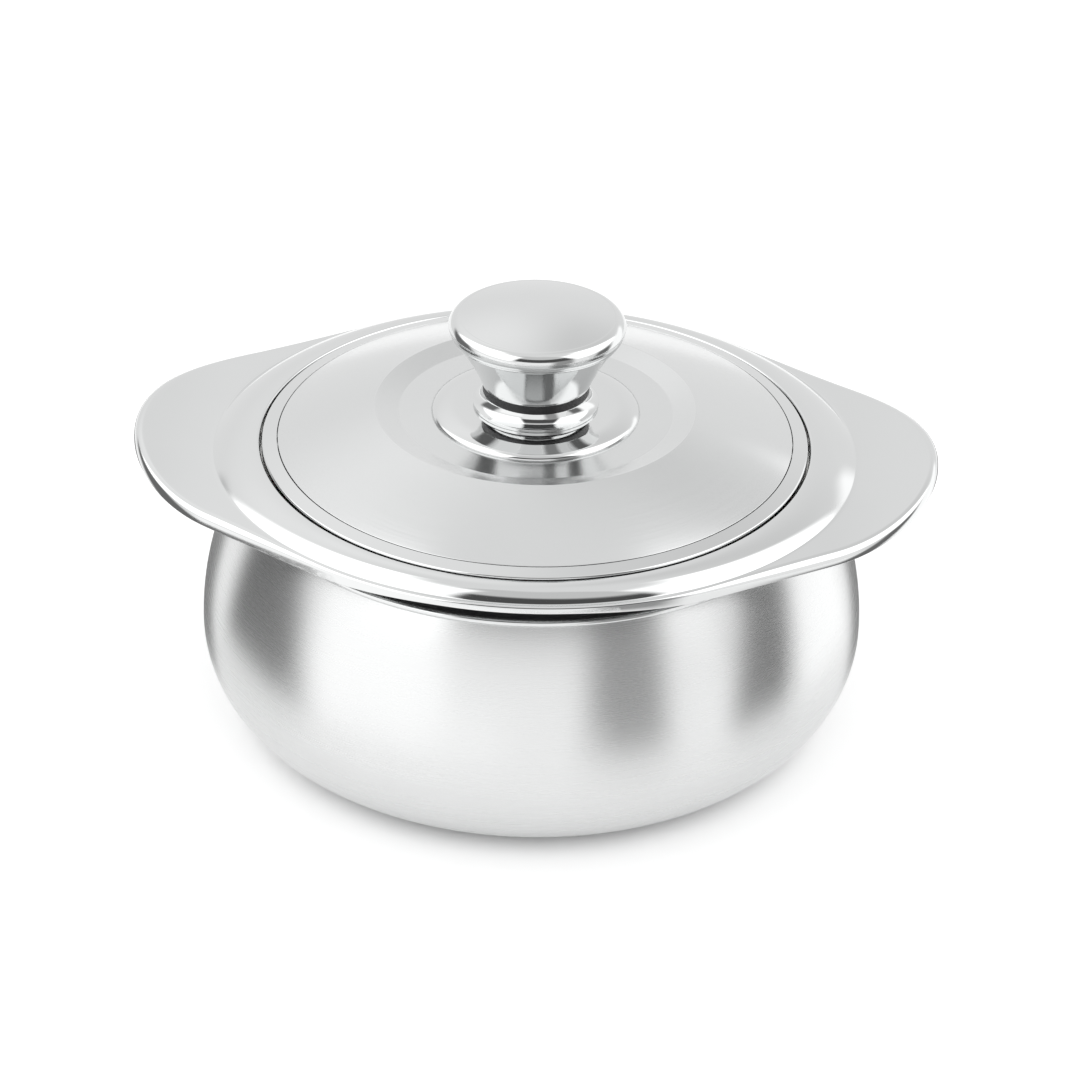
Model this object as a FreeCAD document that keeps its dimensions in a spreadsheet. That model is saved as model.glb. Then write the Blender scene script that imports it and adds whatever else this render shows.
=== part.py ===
"""Insulated chapati casserole: a double-walled steel bowl with an oval handle plate and a lift-off lid.

Frame: millimetres, +Z up, +X towards one handle, origin under the bowl's centre on the surface it rests on.
Every piece is turned about Z, except the handle plate, whose collar is oval and whose ears lie along X.
"""
import FreeCAD, Part
import math
import os

import Sketcher

# ---------------------------------------------------------------- driving dimensions

# (name, millimetres, what it measures)
DIMENSIONS = [
    ("shell_gauge", 0.7, "wall of the spun bowls, the lid pan and the knob shells"),
    ("plate_gauge", 0.8, "wall of the pressed handle plate"),
    ("cover_gauge", 0.8, "wall of the lid cover"),
    ("rest_gap", 0.3, "air left between a piece and the piece it is laid on or round"),

    ("belly_radius", 125.6, "widest radius of the outer bowl"),
    ("belly_round", 37.7, "radius of the lower corner, which is also the height of the widest circle"),
    ("shoulder_round", 108.2, "radius of the arc from the widest circle up to the shoulder"),
    ("shoulder_width", 3.4, "width of the shoulder between that arc and the upright neck"),
    ("neck_rise", 10.0, "height of the upright neck"),
    ("neck_lip", 4.0, "width of the neck's lip, which is turned in under the handle plate"),
    ("foot_flange", 9.0, "width of the flat ring that the bowl stands on"),

    ("base_lap", 6.0, "width of the base plate's rim on the foot flange"),
    ("base_rim", 16.3, "width of the base plate's flat rim outside its dish"),
    ("base_dish", 2.6, "height of the pressed dish in the base plate"),
    ("plug_radius", 6.0, "radius of the foam filling hole"),
    ("plug_head_lap", 3.5, "overlap of the plug's head round the hole"),
    ("plug_head_height", 1.4, "height of the plug's head"),
    ("plug_length", 6.0, "length of the plug's stem above its head"),

    ("ring_height", 2.6, "height of the bead ring round the neck"),
    ("ring_width", 4.2, "radial width of the bead ring"),

    ("mouth_radius", 95.0, "inner radius of the inner bowl at its mouth"),
    ("floor_height", 22.0, "height of the inner bowl's floor"),
    ("floor_round", 22.0, "radius between the floor and the wall of the inner bowl"),

    ("seat_width", 7.5, "width of the seat between the inner bowl's wall and the well that holds the lid"),
    ("ledge_width", 4.2, "width of the plate's ledge under the seat"),
    ("ledge_depth", 5.4, "depth of the ledge below the collar's top"),
    ("well_lip", 1.0, "rounding at the top of the well"),
    ("collar_rise", 4.4, "height of the collar above the plate"),
    ("collar_side", 17.8, "width of the collar from the well to its crease, towards the ears"),
    ("collar_front", 9.4, "width of the collar from the well to its crease, front and back"),
    ("plate_margin", 2.2, "width of the flat plate outside the crease, front and back"),
    ("plate_round", 131.4, "radius of the plate's edge front and back"),
    ("ear_reach", 30.0, "from the collar's crease to the tip of an ear"),
    ("ear_tip_radius", 77.0, "radius of the plate's edge at the tip of an ear"),
    ("ear_bend", 9.0, "how far inside the collar's crease an ear begins to bend up"),
    ("ear_bend_radius", 122.0, "radius of an ear's upward bend"),
    ("plate_hem", 4.5, "height of the hem under the edge of the handle plate"),
    ("hem_round", 0.9, "rounding along the upper edge of the hem"),

    ("seal_height", 1.7, "height of the seal ring"),
    ("seal_width", 5.2, "radial width of the seal ring"),
    ("seal_inset", 0.8, "how far the seal ring stays inside the lid's rim"),

    ("lid_gap", 0.8, "gap between the lid's rim and the well"),
    ("rim_band", 6.0, "width of the lid's rim outside the seam"),
    ("rim_height", 4.0, "height of the lid's seam above the underside of the lid pan's flange"),
    ("rim_drop", 1.1, "fall of the rim band from the seam to its outer rounding"),
    ("rim_round", 0.9, "outer rounding of the rim band"),
    ("seam_gap", 0.3, "width of the seam"),
    ("pan_clearance", 1.4, "gap between the lid pan's wall and the inner bowl's mouth"),
    ("pan_depth", 6.5, "depth of the lid pan below its flange"),
    ("pan_round", 3.0, "rounding at the bottom of the lid pan"),

    ("recess_radius", 60.0, "radius of the recess in the lid cover at its upper edge"),
    ("recess_slope", 8.7, "width of the recess's sloping step"),
    ("recess_depth", 2.4, "depth of the recess"),
    ("dome_rise", 12.4, "height of the recess's edge above the seam"),
    ("dome_round", 330.0, "radius of the convex arc from the recess's edge to the seam"),

    ("boss_radius", 39.0, "radius of the knob's base disc"),
    ("boss_height", 3.2, "height of the base disc"),
    ("boss_round", 1.8, "rounding of the base disc's rim"),
    ("stem_height", 5.6, "height of the pedestal"),
    ("stem_top", 19.4, "radius of the pedestal at its top"),
    ("stem_spread", 4.0, "how much wider the pedestal's foot is than its top"),
    ("stem_foot_height", 1.2, "height of the straight foot of the pedestal"),
    ("stem_flare", 5.6, "radius of the hollow curve of the pedestal"),
    ("spacer_overhang", 0.5, "how much wider the spacer is than the pedestal's top"),
    ("spacer_height", 3.7, "height of the heat-insulating spacer"),
    ("knob_overhang", 0.3, "how much wider the knob's foot is than the spacer"),
    ("knob_radius", 32.9, "widest radius of the knob"),
    ("knob_height", 24.0, "height of the knob cup up to the widest circle"),
    ("knob_edge_inset", 1.6, "from the widest circle in to where the knob's cone begins"),
    ("knob_edge_height", 4.6, "from the widest circle down to where the knob's cone begins"),
    ("knob_edge_round", 7.4, "radius of the knob's rounded edge"),
    ("knob_flare", 74.0, "radius of the hollow curve of the knob's cone"),
    ("cap_edge_inset", 4.3, "from the widest circle in to where the cap's dome begins"),
    ("cap_edge_rise", 3.3, "from the widest circle up to where the cap's dome begins"),
    ("cap_edge_round", 4.6, "radius of the cap's rounded edge"),
    ("cap_crown", 3.2, "height of the cap's dome"),

    ("core_height", 16.0, "height of the knob's core"),
    ("core_clearance", 1.5, "gap between the knob's core and the foot of its cup"),
    ("insert_radius", 5.0, "radius of the threaded insert in the knob"),
    ("insert_height", 12.0, "height of the insert"),
    ("screw_radius", 2.5, "radius of the knob screw's shank"),
    ("screw_clearance", 0.4, "radial clearance of the holes that the screw passes through"),
    ("screw_reach", 10.0, "length of the screw inside the insert"),
    ("screw_head_lap", 2.1, "how much wider the screw's head is than its shank"),
    ("screw_head_height", 3.0, "height of the screw's head"),
    ("fit_clearance", 0.05, "radial clearance of a fitted stem, bush or thread"),
    ("washer_lap", 5.5, "how much wider the washer is than the screw"),
    ("washer_height", 1.0, "height of the washer"),
    ("pocket_clearance", 1.2, "air round the washer and the screw's head in the lid's foam"),
]


class Size:
    """A length together with the spreadsheet expression that gives it."""

    def __init__(self, value, text):
        self.value = value
        self.text = text

    def combine(self, other, sign, work):
        other = as_size(other)
        return Size(work(self.value, other.value), "(%s %s %s)" % (self.text, sign, other.text))

    def __add__(self, other):
        return self.combine(other, "+", lambda a, b: a + b)

    def __sub__(self, other):
        return self.combine(other, "-", lambda a, b: a - b)

    def __mul__(self, other):
        return self.combine(other, "*", lambda a, b: a * b)

    def __truediv__(self, other):
        return self.combine(other, "/", lambda a, b: a / b)


def as_size(number):
    """Gives a plain number the form of a Size."""
    return number if isinstance(number, Size) else Size(float(number), repr(float(number)))


def root(size):
    """Square root of a Size."""
    return Size(math.sqrt(size.value), "sqrt(%s)" % size.text)


def sphere_through(radius, crown):
    """Radius of the sphere whose cap has this rim radius and this height."""
    return (radius * radius + crown * crown) / (crown * 2)


doc = FreeCAD.newDocument("casserole")
sheet = doc.addObject("Spreadsheet::Sheet", "dims")
size = {}
for row, (name, millimetres, meaning) in enumerate(DIMENSIONS, start=1):
    sheet.set("A%d" % row, str(millimetres))
    sheet.set("B%d" % row, meaning)
    sheet.setAlias("A%d" % row, name)
    size[name] = Size(millimetres, "dims." + name)
doc.recompute()

ZERO = as_size(0.0)
ORIGIN_POINT = (-1, 1)
H_AXIS = -1
V_AXIS = -2
parts = []


# ---------------------------------------------------------------- building helpers

def bind(item, path, length):
    """Sets a property of an object through its spreadsheet expression."""
    item.setExpression(path, length.text)


def keep(item, label):
    """Takes an object as a finished piece, under the name of its file."""
    item.Label = label
    parts.append(item)
    return item


def origin_plane(body, role):
    """The body's own origin plane of this role."""
    return [plane for plane in body.Origin.OriginFeatures if plane.Role == role][0]


def new_sketch(body, name, role="XZ_Plane"):
    """A sketch on one of the body's origin planes."""
    sketch = body.newObject("Sketcher::SketchObject", name)
    sketch.AttachmentSupport = [(origin_plane(body, role), "")]
    sketch.MapMode = "FlatFace"
    return sketch


def arc_between(start, end, radius):
    """Arc from start to end; a positive radius bulges to the right of the way, a negative one to the left."""
    chord_x, chord_y = end[0] - start[0], end[1] - start[1]
    chord = math.hypot(chord_x, chord_y)
    across = math.sqrt(max(radius * radius - chord * chord / 4, 0.0))
    side = 1 if radius > 0 else -1
    centre = (
        (start[0] + end[0]) / 2 - side * across * chord_y / chord,
        (start[1] + end[1]) / 2 + side * across * chord_x / chord,
    )
    first = math.atan2(start[1] - centre[1], start[0] - centre[0])
    last = math.atan2(end[1] - centre[1], end[0] - centre[0])
    if side < 0:
        first, last = last, first
    circle = Part.Circle(FreeCAD.Vector(centre[0], centre[1], 0), FreeCAD.Vector(0, 0, 1), abs(radius))
    return Part.ArcOfCircle(circle, first, last)


def pin_point(sketch, edge, end, across, up):
    """Holds one end of an edge at its distances from the sketch's two axes."""
    for length, kind, axis in ((across, "DistanceX", V_AXIS), (up, "DistanceY", H_AXIS)):
        if abs(length.value) < 1e-9:
            sketch.addConstraint(Sketcher.Constraint("PointOnObject", edge, end, axis))
            continue
        number = sketch.addConstraint(Sketcher.Constraint(kind, *ORIGIN_POINT, edge, end, length.value))
        bind(sketch, "Constraints[%d]" % number, length)


def draw_outline(sketch, corners):
    """Closed outline through corners (across, up) or (across, up, radius of the arc to the next corner).

    Every corner is held by its two distances and every arc by its radius, all bound to the sheet.
    """
    places = [(corner[0].value, corner[1].value) for corner in corners]
    edges = []
    for index, corner in enumerate(corners):
        start, end = places[index], places[(index + 1) % len(places)]
        if len(corner) == 3:
            edges.append((sketch.addGeometry(arc_between(start, end, corner[2][0] * corner[2][1].value)),
                          corner[2][0]))
        else:
            line = Part.LineSegment(FreeCAD.Vector(*start, 0), FreeCAD.Vector(*end, 0))
            edges.append((sketch.addGeometry(line), 1))
    for index, (edge, side) in enumerate(edges):
        following, following_side = edges[(index + 1) % len(edges)]
        end = 2 if side > 0 else 1
        start = 1 if following_side > 0 else 2
        sketch.addConstraint(Sketcher.Constraint("Coincident", edge, end, following, start))
    for (edge, side), corner in zip(edges, corners):
        pin_point(sketch, edge, 1 if side > 0 else 2, corner[0], corner[1])
        if len(corner) == 3:
            radius = corner[2][1]
            number = sketch.addConstraint(Sketcher.Constraint("Radius", edge, radius.value))
            bind(sketch, "Constraints[%d]" % number, radius)


def right(radius):
    """An arc that bulges to the right of the way round the outline."""
    return (1, radius)


def left(radius):
    """An arc that bulges to the left of the way round the outline."""
    return (-1, radius)


def turned(name, corners):
    """A body turned about Z from its half section."""
    body = doc.addObject("PartDesign::Body", name + "_body")
    sketch = new_sketch(body, name + "_section")
    draw_outline(sketch, corners)
    doc.recompute()
    turn = body.newObject("PartDesign::Revolution", name + "_turn")
    turn.Profile = sketch
    turn.ReferenceAxis = (sketch, ["V_Axis"])
    turn.Angle = 360.0
    body.Tip = turn
    doc.recompute()
    return body


# ---------------------------------------------------------------- bowl

gauge = size["shell_gauge"]
gap = size["rest_gap"]


def arc_offset(radius, distance):
    """How far an arc of this radius has curved away, this distance along its tangent."""
    return radius - root(radius * radius - distance * distance)


def shoulder_radius_at(height, inward):
    """Radius of the shoulder arc at a height, for a surface this far inside the outer one."""
    rise = height - size["belly_round"]
    return size["belly_radius"] - inward - arc_offset(size["shoulder_round"] - inward, rise)


def shoulder_height_at(radius):
    """Height at which the outer shoulder arc has come in to this radius."""
    across = size["shoulder_round"] - (size["belly_radius"] - radius)
    return size["belly_round"] + root(size["shoulder_round"] * size["shoulder_round"] - across * across)


well_radius = size["mouth_radius"] + gauge + size["seat_width"]
neck_radius = well_radius + size["plate_gauge"] + gap + gauge
neck_height = shoulder_height_at(neck_radius + size["shoulder_width"])
ledge_under = neck_height + size["neck_rise"]
ledge_top = ledge_under + size["plate_gauge"]
collar_top = ledge_top + size["ledge_depth"]
plate_height = collar_top - size["collar_rise"]
foot_outer = size["belly_radius"] - size["belly_round"]
foot_inner = foot_outer - size["foot_flange"]
base_rim_radius = foot_inner + size["base_lap"]
dish_radius = base_rim_radius - size["base_rim"] - size["base_dish"]
dish_under = gauge + size["base_dish"]


def make_outer_bowl():
    """Bellied shell: foot flange, lower corner, shoulder and upright neck with a lip turned in at its top."""
    widest = size["belly_round"]
    neck_inner = neck_radius - gauge
    lip_inner = neck_inner - size["neck_lip"]
    shoulder = neck_height
    return keep(turned("outer_bowl", [
        (foot_inner, ZERO),
        (foot_outer, ZERO, right(size["belly_round"])),
        (size["belly_radius"], widest, right(size["shoulder_round"])),
        (shoulder_radius_at(shoulder, ZERO), shoulder),
        (neck_radius, shoulder),
        (neck_radius, ledge_under),
        (lip_inner, ledge_under),
        (lip_inner, ledge_under - gauge),
        (neck_inner, ledge_under - gauge),
        (neck_inner, shoulder - gauge),
        (shoulder_radius_at(shoulder - gauge, gauge), shoulder - gauge, left(size["shoulder_round"] - gauge)),
        (size["belly_radius"] - gauge, widest, left(size["belly_round"] - gauge)),
        (foot_outer, gauge),
        (foot_inner, gauge),
    ]), "outer_bowl")


def make_base_plate():
    """Closing disc laid on the foot flange, with a raised dish and the filling hole."""
    slope = size["base_dish"]
    hole = size["plug_radius"]
    return keep(turned("base_plate", [
        (hole, dish_under),
        (dish_radius, dish_under),
        (dish_radius + slope, gauge),
        (base_rim_radius, gauge),
        (base_rim_radius, gauge * 2),
        (dish_radius + slope, gauge * 2),
        (dish_radius, dish_under + gauge),
        (hole, dish_under + gauge),
    ]), "base_plate")


def make_base_plug():
    """Push-in plug of the filling hole, with its head inside the dish, above the surface the bowl stands on."""
    stem = size["plug_radius"] - size["fit_clearance"]
    head = size["plug_radius"] + size["plug_head_lap"]
    return keep(turned("base_plug", [
        (ZERO, dish_under - size["plug_head_height"]),
        (head, dish_under - size["plug_head_height"]),
        (head, dish_under),
        (stem, dish_under),
        (stem, dish_under + size["plug_length"]),
        (ZERO, dish_under + size["plug_length"]),
    ]), "base_plug")


def make_inner_bowl():
    """Liner: flat floor, rounded corner, upright wall and a flange laid on the plate's ledge."""
    mouth = size["mouth_radius"]
    wall_foot = size["floor_height"] + size["floor_round"]
    flange_outer = well_radius - gap
    floor_under = size["floor_height"] - gauge
    outer = mouth + gauge
    rounding = size["floor_round"] + gauge
    floor_edge = mouth - size["floor_round"]
    return keep(turned("inner_bowl", [
        (ZERO, floor_under),
        (floor_edge, floor_under, right(rounding)),
        (outer, wall_foot),
        (outer, ledge_top),
        (flange_outer, ledge_top),
        (flange_outer, ledge_top + gauge),
        (mouth, ledge_top + gauge),
        (mouth, wall_foot, left(size["floor_round"])),
        (floor_edge, size["floor_height"]),
        (ZERO, size["floor_height"]),
    ]), "inner_bowl")


def make_body_foam():
    """Insulation that fills the space between the two bowls, from the base plate up to the neck's lip."""
    inward = gauge + gap
    low = gauge * 2 + gap
    raised = dish_under + gauge + gap
    lower_round = size["belly_round"] - inward
    corner_height = size["belly_round"] - low
    corner_run = root(lower_round * lower_round - corner_height * corner_height)
    pocket = size["plug_radius"] + gap
    pocket_top = dish_under + size["plug_length"] + gap
    shoulder = neck_height - inward
    top = ledge_under - inward
    neck = neck_radius - inward
    wall = size["mouth_radius"] + gauge + gap
    wall_foot = size["floor_height"] + size["floor_round"]
    floor_under = size["floor_height"] - gauge - gap
    floor_edge = size["mouth_radius"] - size["floor_round"]
    return keep(turned("body_foam", [
        (ZERO, pocket_top),
        (pocket, pocket_top),
        (pocket, raised),
        (dish_radius, raised),
        (dish_radius + size["base_dish"] + gap, low),
        (foot_outer + corner_run, low, right(lower_round)),
        (size["belly_radius"] - inward, size["belly_round"], right(size["shoulder_round"] - inward)),
        (shoulder_radius_at(shoulder, inward), shoulder),
        (neck, shoulder),
        (neck, top),
        (wall, top),
        (wall, wall_foot, left(size["floor_round"] + gauge + gap)),
        (floor_edge, floor_under),
        (ZERO, floor_under),
    ]), "body_foam")


def make_neck_ring():
    """Polished bead ring that lies on the shoulder round the neck."""
    inner = neck_radius + gap
    half = size["ring_height"] / 2
    crown = inner + size["ring_width"] - half
    return keep(turned("neck_ring", [
        (inner, neck_height),
        (crown, neck_height, right(half)),
        (crown + half, neck_height + half, right(half)),
        (crown, neck_height + size["ring_height"]),
        (inner, neck_height + size["ring_height"]),
    ]), "neck_ring")


# ---------------------------------------------------------------- handle plate

COLLAR_STEPS = (0.0, 0.25, 0.5, 0.7, 0.86, 1.0)

collar_inner = well_radius + size["well_lip"]
crease_length = well_radius + size["collar_side"]
crease_width = well_radius + size["collar_front"]
ear_tip = crease_length + size["ear_reach"]
bend_start = crease_length - size["ear_bend"]
hem_foot = plate_height - size["plate_hem"]


def draw_plate_outline(sketch, inset):
    """Outline of the plate: flat arcs front and back, a rounder arc at each ear, and tangent flanks."""
    side_round = size["plate_round"] - inset
    tip_round = size["ear_tip_radius"] - inset
    tip_centre = ear_tip - size["ear_tip_radius"]
    side_centre = size["plate_round"] - crease_width - size["plate_margin"]
    between = math.hypot(tip_centre.value, side_centre.value)
    lean = (math.atan2(side_centre.value, tip_centre.value)
            + math.acos((side_round.value - tip_round.value) / between))
    arcs = [
        (tip_centre, ZERO, tip_round, -lean, lean),
        (ZERO, side_centre * -1, side_round, lean, math.pi - lean),
        (tip_centre * -1, ZERO, tip_round, math.pi - lean, math.pi + lean),
        (ZERO, side_centre, side_round, math.pi + lean, 2 * math.pi - lean),
    ]
    edges = []
    for index, (across, up, radius, first, last) in enumerate(arcs):
        centre = FreeCAD.Vector(across.value, up.value, 0)
        next_across, next_up, next_radius = arcs[(index + 1) % 4][:3]
        next_centre = FreeCAD.Vector(next_across.value, next_up.value, 0)
        outward = FreeCAD.Vector(math.cos(last), math.sin(last), 0)
        circle = Part.Circle(centre, FreeCAD.Vector(0, 0, 1), radius.value)
        edges.append(sketch.addGeometry(Part.ArcOfCircle(circle, first, last)))
        flank = Part.LineSegment(centre + outward * radius.value, next_centre + outward * next_radius.value)
        edges.append(sketch.addGeometry(flank))
    for index, edge in enumerate(edges):
        sketch.addConstraint(Sketcher.Constraint("Tangent", edge, 2, edges[(index + 1) % len(edges)], 1))
    for edge, (across, up, radius, first, last) in zip(edges[::2], arcs):
        pin_point(sketch, edge, 3, across, up)
        number = sketch.addConstraint(Sketcher.Constraint("Radius", edge, radius.value))
        bind(sketch, "Constraints[%d]" % number, radius)


def make_plate_prism(name, inset):
    """Upright prism over the plate's outline, from below the hem to above the ears."""
    body = doc.addObject("PartDesign::Body", name)
    outline = new_sketch(body, name + "_outline", "XY_Plane")
    bind(outline, ".AttachmentOffset.Base.z", hem_foot - size["plate_hem"])
    draw_plate_outline(outline, inset)
    doc.recompute()
    pad = body.newObject("PartDesign::Pad", name + "_pad")
    pad.Profile = outline
    bind(pad, "Length", size["plate_hem"] * 2 + ear_tip - bend_start)
    body.Tip = pad
    doc.recompute()
    return body


def make_plate_band(name, top_depth, foot_depth):
    """Band across the whole plate that is flat in the middle and bends up at the ears.

    It lies between two depths below the plate's upper surface.
    """
    end = ear_tip + size["plate_hem"]
    run = end - bend_start
    top_round = size["ear_bend_radius"] + top_depth
    foot_round = size["ear_bend_radius"] + foot_depth
    top = plate_height - top_depth
    foot = plate_height - foot_depth
    top_end = top + arc_offset(top_round, run)
    foot_end = foot + arc_offset(foot_round, run)
    body = doc.addObject("PartDesign::Body", name)
    section = new_sketch(body, name + "_section")
    draw_outline(section, [
        (end * -1, foot_end, right(foot_round)),
        (bend_start * -1, foot),
        (bend_start, foot, right(foot_round)),
        (end, foot_end),
        (end, top_end, left(top_round)),
        (bend_start, top),
        (bend_start * -1, top, left(top_round)),
        (end * -1, top_end),
    ])
    doc.recompute()
    pad = body.newObject("PartDesign::Pad", name + "_pad")
    pad.Profile = section
    pad.Midplane = True
    bind(pad, "Length", (crease_width + size["plate_margin"]) * 2 + size["plate_hem"])
    body.Tip = pad
    doc.recompute()
    return body


def is_upper_rim(edge):
    """Whether an edge of the plate's block runs along the outline on its upper surface."""
    middle = edge.valueAt((edge.FirstParameter + edge.LastParameter) / 2)
    beyond = max(abs(middle.x) - bend_start.value, 0.0)
    height = plate_height + arc_offset(size["ear_bend_radius"], as_size(beyond))
    across_plate = abs(edge.tangentAt(edge.FirstParameter).y) > 0.999 and beyond < 1e-6
    return abs(middle.z - height.value) < 1e-4 and not across_plate


def make_plate_blank():
    """Plate with bent-up ears and its hem: one prism cut by a band, hollowed from below by a second."""
    block_parts = [
        make_plate_prism("plate_prism", ZERO),
        make_plate_band("plate_band", ZERO, size["plate_hem"]),
    ]
    hollow_parts = [
        make_plate_prism("hollow_prism", size["plate_gauge"]),
        make_plate_band("hollow_band", size["plate_gauge"], size["plate_hem"] * 2),
    ]
    block = doc.addObject("Part::MultiCommon", "plate_block")
    block.Shapes = block_parts
    hollow = doc.addObject("Part::MultiCommon", "plate_hollow")
    hollow.Shapes = hollow_parts
    doc.recompute()
    rounding = size["hem_round"].value
    rounded = doc.addObject("Part::Fillet", "plate_rounding")
    rounded.Base = block
    rounded.Edges = [
        (number, rounding, rounding) for number, edge in enumerate(block.Shape.Edges, start=1)
        if is_upper_rim(edge)
    ]
    blank = doc.addObject("Part::Cut", "plate_blank")
    blank.Base = rounded
    blank.Tool = hollow
    doc.recompute()
    return blank


def make_collar_form(name, lowered):
    """Solid under the collar's surface: ovals from the crease up to the well, stacked along a parabola."""
    sections = []
    for step in COLLAR_STEPS:
        oval = doc.addObject("Part::Ellipse", "%s_oval_%02d" % (name, round(100 * step)))
        bind(oval, "MajorRadius", collar_inner + (crease_length - collar_inner) * step)
        bind(oval, "MinorRadius", collar_inner + (crease_width - collar_inner) * step)
        bind(oval, ".Placement.Base.z", plate_height - lowered + size["collar_rise"] * (1 - step * step))
        sections.append(oval)
    form = doc.addObject("Part::Loft", name)
    form.Sections = sections
    form.Solid = True
    form.Ruled = False
    doc.recompute()
    return form


def make_well():
    """Inner wall of the collar with its rounded lip, and the ledge at its foot."""
    wall = size["plate_gauge"]
    outer = well_radius + wall
    ledge_inner = well_radius - size["ledge_width"]
    return turned("well", [
        (ledge_inner, ledge_under),
        (outer, ledge_under),
        (outer, collar_top - wall),
        (collar_inner, collar_top - wall),
        (collar_inner, collar_top, right(size["well_lip"])),
        (well_radius, collar_top - size["well_lip"]),
        (well_radius, ledge_top),
        (ledge_inner, ledge_top),
    ])


def make_handle_plate():
    """One pressing: flat plate with ears, oval collar, well and ledge."""
    blank = make_plate_blank()
    collar = make_collar_form("collar_outside", ZERO)
    collar_inside = make_collar_form("collar_inside", size["plate_gauge"])
    mouth = doc.addObject("Part::Cylinder", "collar_mouth")
    bind(mouth, "Radius", collar_inner)
    bind(mouth, "Height", size["plate_hem"] + size["collar_rise"])
    bind(mouth, ".Placement.Base.z", hem_foot)
    raised = doc.addObject("Part::MultiFuse", "plate_with_collar")
    raised.Shapes = [blank, collar]
    inside = doc.addObject("Part::MultiFuse", "plate_inside")
    inside.Shapes = [collar_inside, mouth]
    shell = doc.addObject("Part::Cut", "plate_shell")
    shell.Base = raised
    shell.Tool = inside
    well = make_well()
    pressing = doc.addObject("Part::MultiFuse", "plate_pressing")
    pressing.Shapes = [shell, well]
    doc.recompute()
    return keep(pressing, "handle_plate")


# ---------------------------------------------------------------- lid

rim_radius = well_radius - size["lid_gap"]
seam_radius = rim_radius - size["rim_band"]
pan_radius = size["mouth_radius"] - size["pan_clearance"]
recess_floor = size["recess_radius"] - size["recess_slope"]
flange_top = ledge_top + gauge
seal_foot = flange_top + gap
pan_under = seal_foot + size["seal_height"] + gap
pan_top = pan_under + gauge
seam_height = pan_under + size["rim_height"]
recess_edge = seam_height + size["dome_rise"]
recess_height = recess_edge - size["recess_depth"]
cover_under = recess_height - size["cover_gauge"]
screw_hole = size["screw_radius"] + size["screw_clearance"]
washer_radius = size["screw_radius"] + size["washer_lap"]


def make_lid_gasket():
    """Flat seal ring under the lid's flange, rounded on its outer edge."""
    half = size["seal_height"] / 2
    outer = rim_radius - size["seal_inset"]
    inner = outer - size["seal_width"]
    return keep(turned("lid_gasket", [
        (inner, seal_foot),
        (outer - half, seal_foot, right(half)),
        (outer, seal_foot + half, right(half)),
        (outer - half, seal_foot + size["seal_height"]),
        (inner, seal_foot + size["seal_height"]),
    ]), "lid_gasket")


def make_lid_cover():
    """Polished cover: recess for the knob, sloping step, convex dome and an upright edge."""
    wall = size["cover_gauge"]
    return keep(turned("lid_cover", [
        (screw_hole, cover_under),
        (recess_floor + wall, cover_under),
        (size["recess_radius"] + wall / 2, recess_edge - wall, left(size["dome_round"] - wall)),
        (seam_radius - wall, seam_height - wall),
        (seam_radius - wall, pan_top),
        (seam_radius, pan_top),
        (seam_radius, seam_height, right(size["dome_round"])),
        (size["recess_radius"], recess_edge),
        (recess_floor, recess_height),
        (screw_hole, recess_height),
    ]), "lid_cover")


def make_lid_pan():
    """Lower shell of the lid: floor, wall, flange and the rim band that is folded up round the cover's edge."""
    outer = rim_radius
    band = seam_radius + size["seam_gap"]
    rounding = size["rim_round"]
    shoulder = seam_height - size["rim_drop"]
    wall = pan_radius
    floor_under = pan_under - size["pan_depth"]
    corner = size["pan_round"]
    return keep(turned("lid_pan", [
        (ZERO, floor_under),
        (wall - corner, floor_under, right(corner)),
        (wall, floor_under + corner),
        (wall, pan_under),
        (outer, pan_under),
        (outer, shoulder - rounding, right(rounding)),
        (outer - rounding, shoulder),
        (band, seam_height),
        (band, seam_height - gauge),
        (outer - rounding, shoulder - gauge, left(rounding - gauge / 2)),
        (outer - gauge, shoulder - rounding),
        (outer - gauge, pan_top),
        (wall - gauge, pan_top),
        (wall - gauge, floor_under + corner, left(corner - gauge)),
        (wall - corner, floor_under + gauge),
        (ZERO, floor_under + gauge),
    ]), "lid_pan")


def make_lid_foam():
    """Insulation between the lid's cover and its pan, with a pocket for the screw's head."""
    floor = pan_under - size["pan_depth"] + gauge + gap
    corner = size["pan_round"] - gauge
    wall = pan_radius - gauge - gap
    inward = size["cover_gauge"] + gap
    edge = seam_radius - inward
    pocket = washer_radius + size["pocket_clearance"]
    pocket_floor = (cover_under - size["washer_height"] - size["screw_head_height"]
                    - size["pocket_clearance"])
    return keep(turned("lid_foam", [
        (ZERO, floor),
        (wall - corner, floor, right(corner)),
        (wall, floor + corner),
        (wall, pan_top + gap),
        (edge, pan_top + gap),
        (edge, seam_height - inward, right(size["dome_round"] - inward)),
        (size["recess_radius"] + inward / 2, recess_edge - inward),
        (recess_floor + inward, recess_height - inward),
        (pocket, recess_height - inward),
        (pocket, pocket_floor),
        (ZERO, pocket_floor),
    ]), "lid_foam")


# ---------------------------------------------------------------- knob

boss_top = recess_height + size["boss_height"]
stem_top_height = boss_top + size["stem_height"]
spacer_top = stem_top_height + size["spacer_height"]
widest_height = spacer_top + size["knob_height"]
core_foot = spacer_top + gauge
spacer_radius = size["stem_top"] + size["spacer_overhang"]
knob_foot = spacer_radius + size["knob_overhang"]


def make_knob_base():
    """Dished disc on the recess's floor, with a rounded rim."""
    rim = size["boss_radius"]
    rounding = size["boss_round"]
    return keep(turned("knob_base", [
        (screw_hole, boss_top - gauge),
        (rim - rounding, boss_top - gauge, left(rounding - gauge)),
        (rim - gauge, boss_top - rounding),
        (rim - gauge, recess_height),
        (rim, recess_height),
        (rim, boss_top - rounding, right(rounding)),
        (rim - rounding, boss_top),
        (screw_hole, boss_top),
    ]), "knob_base")


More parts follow.
